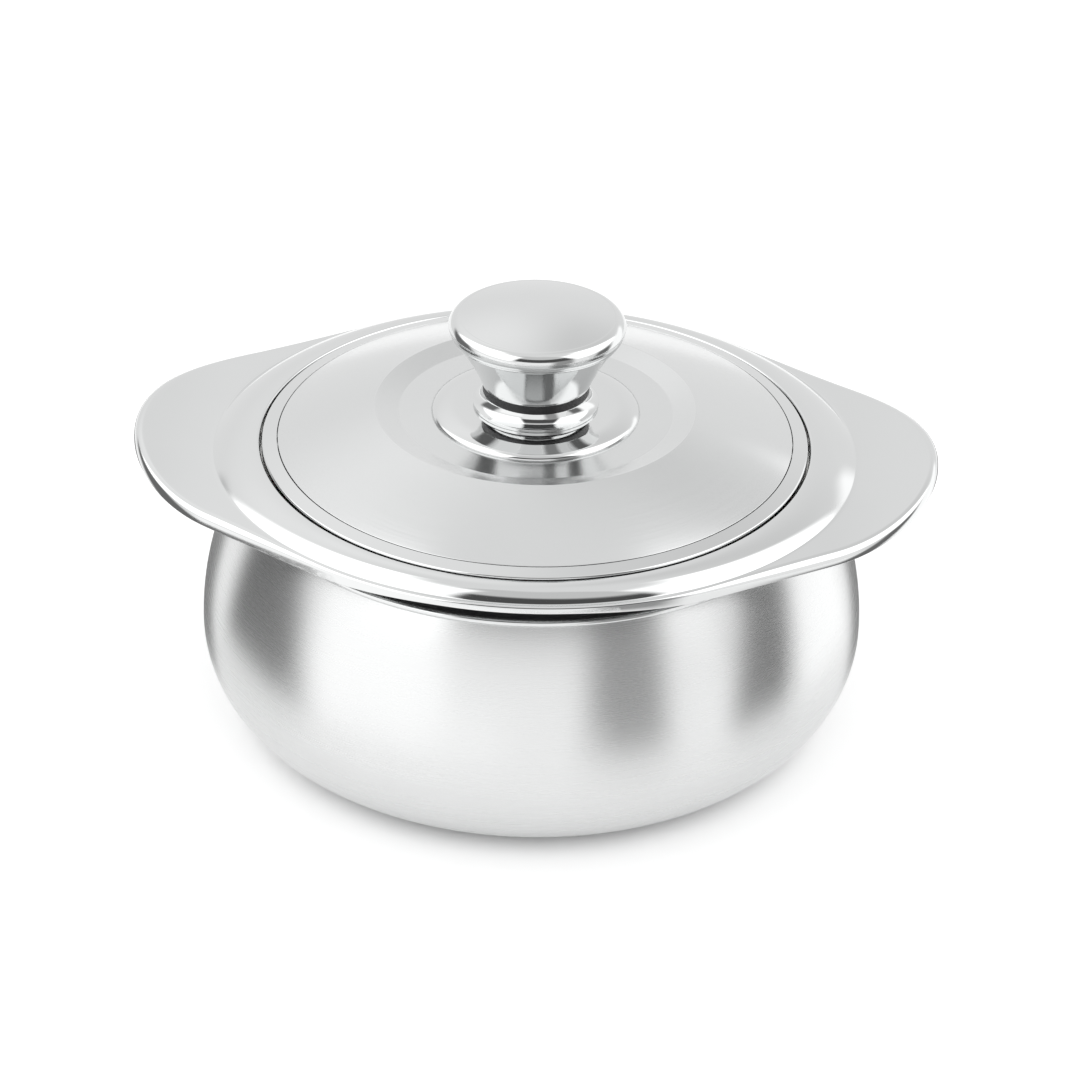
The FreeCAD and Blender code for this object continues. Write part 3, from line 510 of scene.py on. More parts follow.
def finish(name):
    """The material of this name, made the first time it is asked for."""
    if name not in FINISHES:
        make, tone, *settings = FINISH_TABLE[name]
        FINISHES[name] = make(name, getattr(bpy.context.scene.casserole_finishes, tone), *settings)
    return FINISHES[name]


# ---- sections of the turned pieces

# Sizes of a black fillet that is painted shade: it fills the neck's corner under the plate's hem, where only shadow
# falls.
SHADE_FILLET_PLAY = 0.03 * MM
SHADE_FILLET_EDGE = 0.2 * MM
SHADE_FILLET_HOLLOW = 2.2  # radius of the painted-shade fillet's hollow face over its width
PLUG_PLAY = 0.05 * MM
DISC_STEPS = 25
DISC_EDGE = 0.2 * MM
DISC_CORNER = 0.05 * MM


def shoulder_radius(bowl, height, inward):
    """Radius of the shoulder arc at a height, for a surface this far inside the outer one."""
    arc = bowl.shoulder_round - inward
    rise = height - bowl.belly_round
    return bowl.belly_radius - inward - arc + math.sqrt(arc * arc - rise * rise)


def outer_bowl_section(bowl):
    """Foot flange, lower corner, shoulder arc, neck and lip, and back along the inside."""
    g, e = bowl.gauge, bowl.edge_round
    foot = bowl.belly_radius - bowl.belly_round
    inner = bowl.neck_radius - g
    lip = inner - bowl.neck_lip
    neck, top = bowl.neck_height, bowl.neck_top
    return section([
        (foot - bowl.foot_flange, 0.0, e), (foot, 0.0, 0.0, bowl.belly_round),
        (bowl.belly_radius, bowl.belly_round, 0.0, bowl.shoulder_round),
        (shoulder_radius(bowl, neck, 0.0), neck, 2 * e), (bowl.neck_radius, neck, e),
        (bowl.neck_radius, top, 2 * e), (lip, top, e), (lip, top - g, e), (inner, top - g, e),
        (inner, neck - g, e), (shoulder_radius(bowl, neck - g, g), neck - g, e, g - bowl.shoulder_round),
        (bowl.belly_radius - g, bowl.belly_round, 0.0, g - bowl.belly_round),
        (foot, g), (foot - bowl.foot_flange, g, e),
    ])


def half_round(node, inner, edge):
    """Ring that is flat inside, with softened edges, and half round outside."""
    foot, top, outer = low(node), high(node), reach(node)
    half = (top - foot) / 2
    return section([
        (inner, foot, edge), (outer - half, foot, 0.0, half), (outer, foot + half, 0.0, half), (outer - half, top),
        (inner, top, edge),
    ])


def neck_ring_section(bowl):
    """Bead round the neck."""
    return half_round("neck_ring", bowl.neck_radius + bowl.ring_play, bowl.edge_round)


def shade_fillet_section(bowl):
    """Black fillet of painted shade between the bead ring and the plate: a hollow fillet in the corner of the neck
    and the ring, darkening the gap under the plate's hem where shadow falls.
    """
    neck, level = bowl.neck_radius + SHADE_FILLET_PLAY, high("neck_ring") + SHADE_FILLET_PLAY
    width = reach("neck_ring") - (high("neck_ring") - low("neck_ring")) / 2 - neck
    return section([
        (neck, level), (neck + width, level), (neck + width, level + SHADE_FILLET_EDGE, 0.0, -SHADE_FILLET_HOLLOW * width),
        (neck, level + bowl.shade_fillet_height),
    ])


def base_plate_section(bowl):
    """Flat rim, sloping wall of the raised dish, and the filling hole."""
    g, e = bowl.gauge, bowl.edge_round
    rim = reach("base_plate")
    under = g + bowl.base_dish
    dish = rim - bowl.base_rim - bowl.base_dish
    slope = dish + bowl.base_dish
    return section([
        (bowl.plug_radius, under, e), (dish, under, 4 * e), (slope, g, 4 * e), (rim, g, e), (rim, 2 * g, e),
        (slope, 2 * g, 4 * e), (dish, under + g, 4 * e), (bowl.plug_radius, under + g, e),
    ])


def base_plug_section(bowl):
    """Mushroom plug: flat head with a rounded edge, and a stem that narrows at its end."""
    e = bowl.edge_round
    foot, top = low("base_plug"), high("base_plug")
    head = reach("base_plug")
    under = bowl.gauge + bowl.base_dish
    stem = bowl.plug_radius - PLUG_PLAY
    return section([
        (0.0, foot), (head, foot, 2.5 * e), (head, under, e), (stem, under, e), (stem, top - 2 * e, e),
        (stem - 2 * e, top, e), (0.0, top),
    ], closed=False)


def inner_bowl_section(bowl):
    """Liner: floor, rounded corner, wall and the flange that lies on the ledge."""
    g, e = bowl.gauge, bowl.edge_round
    mouth, flange = bowl.mouth_radius, reach("inner_bowl")
    top = high("inner_bowl")
    floor = bowl.floor_height
    wall = floor + bowl.floor_round
    edge = mouth - bowl.floor_round
    return section([
        (0.0, floor - g), (edge, floor - g, 0.0, bowl.floor_round + g), (mouth + g, wall),
        (mouth + g, top - g, e), (flange, top - g, e), (flange, top, e), (mouth, top, 2.5 * e),
        (mouth, wall, 0.0, -bowl.floor_round), (edge, floor), (0.0, floor),
    ], closed=False)


def lid_gasket_section(lid):
    """Flat seal ring."""
    return half_round("lid_gasket", reach("lid_gasket") - lid.seal_width, 1.5 * lid.edge_round)


def lid_cover_section(lid):
    """Recess floor, sloping step, convex dome and upright edge, and back along the inside."""
    g, e = lid.cover_gauge, lid.edge_round
    floor = lid.recess_radius - lid.recess_slope
    level = lid.recess_height - lid.recess_depth
    return section([
        (lid.screw_hole, level - g, e), (floor + g, level - g, e),
        (lid.recess_radius + g / 2, lid.recess_height - g, e, g - lid.dome_round),
        (lid.seam_radius - g, lid.seam_height - g, e), (lid.seam_radius - g, lid.edge_height, e),
        (lid.seam_radius, lid.edge_height, e), (lid.seam_radius, lid.seam_height, e, lid.dome_round),
        (lid.recess_radius, lid.recess_height, 4 * e), (floor, level, 4 * e), (lid.screw_hole, level, e),
    ])


def lid_pan_section(lid):
    """Pan floor and wall, flange, and the rim band folded up round the cover's edge."""
    g, e = lid.pan_gauge, lid.edge_round
    wall, corner, outer = lid.pan_radius, lid.pan_round, lid.rim_radius
    foot = low("lid_pan")
    flange = foot + lid.pan_depth
    band = lid.seam_radius + lid.seam_gap
    shoulder = lid.seam_height - lid.rim_drop
    rounding = lid.rim_round
    return section([
        (0.0, foot), (wall - corner, foot, 0.0, corner), (wall, foot + corner), (wall, flange, e),
        (outer, flange, 1.5 * e), (outer, shoulder - rounding, 0.0, rounding), (outer - rounding, shoulder),
        (band, lid.seam_height, e), (band, lid.seam_height - g, e),
        (outer - rounding, shoulder - g, 0.0, g / 2 - rounding), (outer - g, shoulder - rounding),
        (outer - g, flange + g, e), (wall - g, flange + g, e), (wall - g, foot + corner, 0.0, g - corner),
        (wall - corner, foot + g), (0.0, foot + g),
    ], closed=False)


def knob_base_section(lid, knob):
    """Disc that is flat under the pedestal and falls to its rim along a quarter of an ellipse."""
    g, rim = knob.gauge, knob.disc_radius
    foot, top = low("knob_base"), high("knob_base")
    brink, corner = foot + DISC_EDGE, foot + DISC_CORNER
    turn = np.linspace(0.0, math.pi / 2, DISC_STEPS)

    def quarter(edge, width, height):
        """The ellipse, from its level end to its upright one."""
        return np.stack([edge - width * (1 - np.sin(turn)), brink + height * np.cos(turn)], axis=1)

    outer = quarter(rim, knob.disc_round, top - brink)
    inner = quarter(rim - g, knob.disc_round - g / 2, top - brink - g)
    ends = [[rim - g, corner], [rim - g + DISC_CORNER, foot], [rim - DISC_CORNER, foot], [rim, corner]]
    return np.concatenate([[[lid.screw_hole, top - g]], inner, ends, outer[::-1], [[lid.screw_hole, top]]])


def knob_pedestal_section(lid, knob):
    """Waisted foot: a short straight band and a hollow curve up to the spacer."""
    foot, top, wide = low("knob_pedestal"), high("knob_pedestal"), reach("knob_pedestal")
    e = lid.edge_round
    return section([
        (lid.screw_hole, foot), (wide, foot, e), (wide, foot + knob.pedestal_foot, e, -knob.pedestal_flare),
        (knob.pedestal_top, top, e), (lid.screw_hole, top),
    ])


def knob_spacer_section(lid, knob):
    """Plain ring with softened edges."""
    foot, top, wide = low("knob_spacer"), high("knob_spacer"), reach("knob_spacer")
    return section([
        (lid.screw_hole, foot), (wide, foot, 2 * lid.edge_round), (wide, top, 2 * lid.edge_round),
        (lid.screw_hole, top),
    ])


def knob_cup_section(lid, knob):
    """Foot, hollow cone and the lower half of the rounded edge, and back along the inside."""
    g, e = knob.gauge, lid.edge_round
    foot, top, widest = low("knob_cup"), high("knob_cup"), reach("knob_cup")
    edge, edge_height = widest - knob.edge_inset, top - knob.edge_height
    return section([
        (lid.screw_hole, foot), (knob.foot_radius, foot, 1.5 * e, -knob.flare),
        (edge, edge_height, 0.0, knob.edge_round), (widest, top, 0.5 * e),
        (widest - g, top, 0.5 * e, g - knob.edge_round), (edge - g, edge_height + g / 2, 0.0, knob.flare),
        (knob.foot_radius - g, foot + g, e), (lid.screw_hole, foot + g),
    ])


def knob_cap_section(lid, knob):
    """Upper half of the rounded edge and the low dome, a cap of the sphere through its rim and crown."""
    g, e = knob.gauge, lid.edge_round
    foot, top, widest = low("knob_cap"), high("knob_cap"), reach("knob_cap")
    shoulder = widest - knob.cap_inset
    height = foot + knob.cap_rise
    crown = top - height
    inner = shoulder - g / 2
    outer_sphere = (shoulder ** 2 + crown ** 2) / (2 * crown)
    inner_sphere = (inner ** 2 + crown ** 2) / (2 * crown)
    return section([
        (0.0, top - g, 0.0, -inner_sphere), (inner, height - g), (widest - g, foot, 0.5 * e),
        (widest, foot, 0.5 * e, knob.cap_round), (shoulder, height, 0.0, outer_sphere), (0.0, top),
    ], closed=False)


# ---- handle plate

COLLAR_POWER = 2.5
LIP_FADE = 6  # how soon the soft maximum sets in outside the well
HEM_HEIGHT_BLEND = (20 * MM, 75 * MM)  # from where to where, aside, the hem's height grows towards an ear
HEM_ROUND_BLEND = (50 * MM, 110 * MM)  # the same for its rounding
QUARTER_STEPS = 9
HEM_NIP = 0.3  # share of the edge rounding at the middle of a bare corner

# Ways out from the well: 0 at the well, 1 at the crease and 2 at the hem, closest about the crease.
WAYS = np.concatenate([np.linspace(0.0, 0.88, 23), np.linspace(0.9, 1.0, 11), np.linspace(1.0, 1.3, 10)[1:],
                       np.linspace(1.3, 2.0, 12)[1:]])[:, None]


def soft_step(way):
    """From 0 to 1 as the way goes from 0 to 1: 3 t t - 2 t t t."""
    share = np.clip(way, 0.0, 1.0)
    return share * share * (3 - 2 * share)


def plate_edge(plate, angle):
    """Distance from the axis to the plate's outline along each angle.

    By symmetry one quarter is enough. The ray meets the tip circle, the flat side circle or the straight flank
    that touches both; each distance is the larger root of its quadratic, or the flank's distance over the cosine.
    """
    across, up = np.abs(np.cos(angle)), np.abs(np.sin(angle))
    crease_x = plate.well_radius + plate.collar_side
    crease_y = plate.well_radius + plate.collar_front
    tip_round, side_round = plate.ear_tip_radius, plate.plate_round
    tip_x = crease_x + plate.ear_reach - plate.ear_tip_radius
    side_y = crease_y + plate.plate_margin - plate.plate_round
    lean = (math.atan2(-side_y, tip_x)
            + math.acos((side_round - tip_round) / math.hypot(tip_x, side_y)))
    tip = across * tip_x + np.sqrt(np.maximum((across * tip_x) ** 2 - tip_x ** 2 + tip_round ** 2, 0.0))
    side = up * side_y + np.sqrt((up * side_y) ** 2 - side_y ** 2 + side_round ** 2)
    flank = (tip_x * math.cos(lean) + tip_round) / (across * math.cos(lean) + up * math.sin(lean))
    on_tip = np.arctan2(tip * up, tip * across - tip_x) <= lean
    on_side = np.arctan2(side * up - side_y, side * across) >= lean
    return np.where(on_tip, tip, np.where(on_side, side, flank))


def oval(long_half, short_half, angle):
    """Distance from the axis to an ellipse along each angle."""
    return long_half * short_half / np.hypot(short_half * np.cos(angle), long_half * np.sin(angle))


def ear_lift(plate, x, depth):
    """How far the plate has bent up at this x, for a surface this far below the upper one."""
    start = plate.well_radius + plate.collar_side - plate.ear_bend
    beyond = np.maximum(np.abs(x) - start, 0.0)
    radius = plate.ear_bend_radius + depth
    return radius - np.sqrt(radius ** 2 - beyond ** 2)


def plate_surface(plate, segments):
    """The whole pressing as one closed band: distance from the axis and height, for each angle and each step
    across.

    Across it runs up the well, over the lip, down the collar, out over the plate, round the hem and back below.
    The collar's height falls with the way out to the power 2.5, between a circle at the well and an ellipse at the
    crease; the plate rises along a circle beyond the bend; the two meet in a soft maximum. The hem's height and
    rounding go from their values in front to those at the ears by 3 t t - 2 t t t of the way aside. Normals come
    from the cross product of the differences along both ways.
    """
    angle = (np.arange(segments) * (2 * math.pi / segments))[None, :]
    wall, e = plate.gauge, plate.edge_round
    top = plate.ledge_height + plate.collar_height
    level = top - plate.collar_rise
    well, ledge = plate.well_radius, plate.well_radius - plate.ledge_width
    under, over = plate.ledge_height, plate.ledge_height + wall
    inner = well + plate.well_lip
    crease_x, crease_y = well + plate.collar_side, well + plate.collar_front
    crease = oval(crease_x, crease_y, angle)
    outline = plate_edge(plate, angle)
    lean = (np.roll(outline, -1, axis=1) - np.roll(outline, 1, axis=1)) / (4 * math.pi / segments) / outline
    slant = np.sqrt(1 + lean ** 2)
    aside = np.abs(outline * np.cos(angle))

    def towards_ear(front, ear, start, end):
        """From one value to another between two distances aside."""
        return front + (ear - front) * soft_step((aside - start) / (end - start))

    hem_height = towards_ear(plate.front_hem, plate.hem, *HEM_HEIGHT_BLEND)
    rounding = towards_ear(plate.front_hem_round, plate.hem_round, *HEM_ROUND_BLEND)

    def ring(radius, height):
        """Plain circle."""
        return np.full_like(angle, radius), np.full_like(angle, height)

    def collar(way, depth):
        """Collar and plate at each way out, for a surface this far below the upper one."""
        crossed, past = np.minimum(way, 1.0), np.maximum(way - 1.0, 0.0)
        radius = oval(inner + (crease_x - inner) * crossed, inner + (crease_y - inner) * crossed, angle)
        edge = outline - slant * (rounding if depth == 0 else np.maximum(rounding, wall + e))
        radius = radius + (edge - radius) * past
        bent = level - depth + ear_lift(plate, radius * np.cos(angle), depth)
        beyond = past * (edge - crease) / (crease - inner)
        raised = level - depth + plate.collar_rise * (1 - (crossed + beyond) ** COLLAR_POWER)
        soft = np.sqrt((raised - bent) ** 2 + plate.crease_round ** 2)
        fade = np.clip(crossed * LIP_FADE, 0.0, 1.0)
        height = np.where(way > 0, (raised + bent + fade * soft + (1 - fade) * np.abs(raised - bent)) / 2, raised)
        return radius, height

    def hem(inset, drop, depth=None):
        """Line along the outline, this far in and this far below the plate's upper surface. It bends with the
        ears as a surface of this depth, which is the drop unless given."""
        radius = outline - slant * inset
        return radius, level - drop + ear_lift(plate, radius * np.cos(angle), drop if depth is None else depth)

    def rounded(within, radius, turns):
        """The hem's rounding, for a surface this far within the outer one."""
        return [hem(within + radius * (1 - math.sin(t)), within + radius * (1 - math.cos(t))) for t in turns]

    turns = np.linspace(0, math.pi / 2, QUARTER_STEPS)[1:]
    nip = HEM_NIP * e
    rows = [
        ring(ledge, over - e), ring(ledge + e, over), ring(well - e, over), ring(well, over + e),
        ring(well, top - plate.well_lip),
        *[ring(inner - plate.well_lip * math.cos(t), top - plate.well_lip * (1 - math.sin(t))) for t in turns[:-1]],
        collar(WAYS, 0.0), *rounded(0.0, rounding, turns),
        hem(0.0, hem_height - e), hem(nip, hem_height - nip, hem_height), hem(e, hem_height),
        hem(wall - e, hem_height), hem(wall - nip, hem_height - nip, hem_height), hem(wall, hem_height - e),
        *rounded(wall, rounding - wall, turns[::-1]), collar(WAYS[::-1][:-1], wall),
        ring(inner, top - wall), ring(well + wall + e, top - wall), ring(well + wall, top - wall - e),
        ring(well + wall, under + e), ring(well + wall - e, under), ring(ledge + e, under),
        ring(ledge, under + e),
    ]
    radius, height = (np.concatenate(part) for part in zip(*rows))
    grid = np.stack([radius * np.cos(angle), radius * np.sin(angle), height], axis=2)
    out = np.roll(grid, -1, axis=0) - np.roll(grid, 1, axis=0)
    round_way = np.roll(grid, -1, axis=1) - np.roll(grid, 1, axis=1)
    normals = np.cross(out, round_way)
    normals /= np.linalg.norm(normals, axis=2)[:, :, None]
    gaps = np.linalg.norm(np.diff(grid, axis=0), axis=2)
    runs = np.concatenate([np.zeros((1, segments)), np.cumsum(gaps, axis=0)])
    quads = quads_between(len(grid), segments, True)[:, [0, 3, 2, 1]]
    return grid.reshape(-1, 3), [quads], normals.reshape(-1, 3), runs.ravel()


# ---- cards of the studio

FLOOR_SIDES = 96
FLOOR_DROP = 0.05 * MM
FLOOR_GLOW = 0.3
PAINTED_SHADOW_RANGE = (98 * MM, 116 * MM)  # from where to where, away from the axis, the floor's glow sets in; nearer the axis it is left out, a painted shadow round the foot
TABLE_SOFTNESS = 25 * MM
CARD_STEPS = 49  # rows up the sphere and columns across
LYING_STEPS = 65  # rows along the floor
CARD_LIFT = 0.3 * MM
CARD_LEAN = 0.006
PAST_EDGE = 90.0  # an angle that is past every soft edge
SENSOR_WIDTH = 36.0

# Cards that the steel reflects, each standing a step farther away than the one before: azimuth of the middle from the
# camera's side (right is positive), half the width, the soft edge, the lowest and highest elevation, all in degrees,
# how near to the axis the card begins on the floor (nothing for one that doesn't lie on it), how far away it stands
# before that step is added, both in metres, and the brightness, where 1 is the even light all round.
CARDS = (
    ("left_flag", -103.0, 26.0, 12.0, 0.0, 32.0, 0.22, 1.6, 0.2),
    ("front_flag", 31.5, 18.0, 11.0, 0.0, 42.0, 0.26, 1.6, 0.41),
    ("right_flag", 86.0, 18.0, 11.0, 0.0, 30.0, 0.22, 1.6, 0.2),
    ("left_grey_card", -158.0, 16.0, 5.0, 0.0, 3.0, 0.13, 0.36, 0.2),
    ("right_grey_card", 158.0, 14.0, 5.0, 0.0, 3.0, 0.13, 0.36, 0.2),
    ("low_centre_light", -4.0, 26.0, 8.0, 0.0, 37.0, 0.26, 1.6, 1.22),
    ("dark_card", 10.0, 42.0, 6.0, 30.0, 62.0, 0.0, 1.6, 0.1),
    ("low_front_light", -46.0, 38.0, 14.0, 0.0, 28.0, 0.24, 1.6, 1.42),
    ("low_right_light", 54.0, 16.0, 6.0, 0.0, 34.0, 0.0, 1.6, 1.15),
    ("low_far_right_light", 117.0, 20.0, 8.0, 0.0, 34.0, 0.2, 1.6, 1.45),
    ("left_light", -80.0, 52.0, 10.0, 22.0, 76.0, 0.0, 1.6, 2.0),
    ("right_light", 92.0, 43.0, 10.0, 24.0, 74.0, 0.0, 1.6, 2.0),
    ("top_grey_card", 0.0, 60.0, 8.0, 54.0, 88.0, 0.0, 1.6, 0.78),
    ("back_left_light", -150.0, 42.0, 25.0, 22.0, 72.0, 0.0, 1.6, 1.14),
    ("back_right_card", 152.0, 40.0, 25.0, 26.0, 76.0, 0.0, 1.6, 0.86),
)


def card_surface(middle, half, soft, lowest, highest, nearest, distance, turn, belly):
    """Part of a sphere round the bowl: x = r sin a, y = -r cos a, where r and z are the distance times the cosine
    and sine of the elevation. A card that lies on the floor first has rows from its near end to the sphere before
    that, and runs straight away from the side of the belly that reflects it: its middle turns back by the arc sine
    of the belly's radius times the sine of half the azimuth, over r. Above the floor it leans outwards, by the
    lean times the azimuth of its middle times the elevation, all in degrees. The cover falls smoothly to nothing
    at the edges: 3 t t - 2 t t t of the way in over the soft edge."""
    rise = np.radians(np.linspace(lowest, highest, CARD_STEPS))
    profile = distance * np.stack([np.cos(rise), np.sin(rise)], axis=1)
    inward, downward = np.degrees(rise) - lowest, highest - np.degrees(rise)
    if nearest:
        lying = np.geomspace(nearest, distance, LYING_STEPS)[:-1]
        profile = np.concatenate([np.stack([lying, np.zeros_like(lying)], axis=1), profile])
        inward = np.concatenate([(lying - nearest) / TABLE_SOFTNESS * soft, np.full_like(inward, PAST_EDGE)])
        downward = np.concatenate([np.full_like(lying, PAST_EDGE), downward])
    profile[:, 1] = np.maximum(profile[:, 1], CARD_LIFT)
    across = np.linspace(-half, half, CARD_STEPS)
    flat, up = profile[:, :1], profile[:, 1:]
    angle = np.radians(middle + across) + turn
    if nearest:
        lean = CARD_LEAN * middle * np.degrees(np.arctan2(up, flat))
        angle = angle + np.radians(lean) - np.arcsin(belly * math.sin(math.radians(middle) / 2) / flat)
    places = np.stack(np.broadcast_arrays(flat * np.sin(angle), -flat * np.cos(angle), up), axis=2)
    cover = soft_step(np.minimum(inward, downward) / soft)[:, None] * soft_step((half - np.abs(across)) / soft)
    row, column = np.meshgrid(np.arange(len(profile) - 1), np.arange(CARD_STEPS - 1), indexing="ij")
    first = row * CARD_STEPS + column
    quads = np.stack([first, first + 1, first + CARD_STEPS + 1, first + CARD_STEPS], axis=2).reshape(-1, 4)
    return places.reshape(-1, 3), quads, cover.ravel()


# ---- operators

class PieceOperator:
    """What the operators of the pieces share."""
    bl_options = {"REGISTER", "UNDO"}

    def turn(self, context, node, body, slot, profile, look=None):
        """Builds one turned piece in place of its node."""
        surface = turned_surface(profile, context.scene.casserole_studio.segments)
        new_piece(node + "_turned", surface, finish(look or slot), node, body)


class OuterBowl(PieceOperator, bpy.types.Operator):
    """Satin outer bowl"""
    bl_idname = "casserole.outer_bowl"
    bl_label = "Outer bowl"

    def execute(self, context):
        """Turns the shell."""
        bowl = context.scene.casserole_bowl
        self.turn(context, "outer_bowl", "body", "satin_steel", outer_bowl_section(bowl))
        return {"FINISHED"}


class BaseParts(PieceOperator, bpy.types.Operator):
    """Base plate and its plug"""
    bl_idname = "casserole.base"
    bl_label = "Base plate and plug"

    def execute(self, context):
        """Turns both."""
        bowl = context.scene.casserole_bowl
        self.turn(context, "base_plate", "body", "base_steel", base_plate_section(bowl))
        self.turn(context, "base_plug", "body", "plug_plastic", base_plug_section(bowl))
        return {"FINISHED"}


class NeckRing(PieceOperator, bpy.types.Operator):
    """Polished bead ring and the black fillet of painted shade above it"""
    bl_idname = "casserole.neck_ring"
    bl_label = "Neck ring"

    def execute(self, context):
        """Turns both. The fillet of painted shade replaces no node."""
        bowl = context.scene.casserole_bowl
        self.turn(context, "neck_ring", "body", "polished_steel", neck_ring_section(bowl))
        surface = turned_surface(shade_fillet_section(bowl), context.scene.casserole_studio.segments)
        # Black plastic here is painted shade: the fillet darkens the gap under the plate's hem.
        new_piece("neck_joint", surface, finish("black_plastic"), None, "body")
        return {"FINISHED"}


class InnerBowl(PieceOperator, bpy.types.Operator):
    """Brushed liner"""
    bl_idname = "casserole.inner_bowl"
    bl_label = "Inner bowl"

    def execute(self, context):
        """Turns the liner."""
        bowl = context.scene.casserole_bowl
        self.turn(context, "inner_bowl", "body", "liner_steel", inner_bowl_section(bowl))
        return {"FINISHED"}


class HandlePlate(PieceOperator, bpy.types.Operator):
    """Pressed plate with two ears, collar and well"""
    bl_idname = "casserole.handle_plate"
    bl_label = "Handle plate"

    def execute(self, context):
        """Builds the pressing."""
        surface = plate_surface(context.scene.casserole_plate, 2 * context.scene.casserole_studio.segments)
        new_piece("handle_plate_pressed", surface, finish("polished_steel"), "handle_plate", "body")
        return {"FINISHED"}


class LidShells(PieceOperator, bpy.types.Operator):
    """Lid cover, lid pan and seal ring"""
    bl_idname = "casserole.lid"
    bl_label = "Lid"

    def execute(self, context):
        """Turns the three."""
        lid = context.scene.casserole_lid
        self.turn(context, "lid_cover", "lid", "polished_steel", lid_cover_section(lid), "spun_steel")
        self.turn(context, "lid_pan", "lid", "polished_steel", lid_pan_section(lid))
        self.turn(context, "lid_gasket", "lid_seal", "seal_silicone", lid_gasket_section(lid))
        return {"FINISHED"}


class Knob(PieceOperator, bpy.types.Operator):
    """Knob with its disc, pedestal and spacer"""
    bl_idname = "casserole.knob"
    bl_label = "Knob"

    def execute(self, context):
        """Turns the five pieces."""
        lid, knob = context.scene.casserole_lid, context.scene.casserole_knob
        for node, slot, profile in (
            ("knob_base", "polished_steel", knob_base_section),
            ("knob_pedestal", "polished_steel", knob_pedestal_section),
            ("knob_spacer", "black_plastic", knob_spacer_section),
            ("knob_cup", "polished_steel", knob_cup_section),
            ("knob_cap", "polished_steel", knob_cap_section),
        ):
            self.turn(context, node, "lid", slot, profile(lid, knob))
        return {"FINISHED"}


class HiddenParts(PieceOperator, bpy.types.Operator):
    """Insulation and fastening, which keep their plain shapes"""
    bl_idname = "casserole.hidden_parts"
    bl_label = "Insulation and fastening"

    def execute(self, context):
        """Gives each node its material."""
        for node, name in (
            ("body_foam", "insulation_foam"), ("lid_foam", "insulation_foam"), ("knob_core", "core_plastic"),
            ("knob_insert", "insert_brass"), ("knob_screw", "zinc_steel"), ("screw_washer", "zinc_steel"),
        ):
            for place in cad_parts[node].material_slots:
                place.material = finish(name)
        return {"FINISHED"}


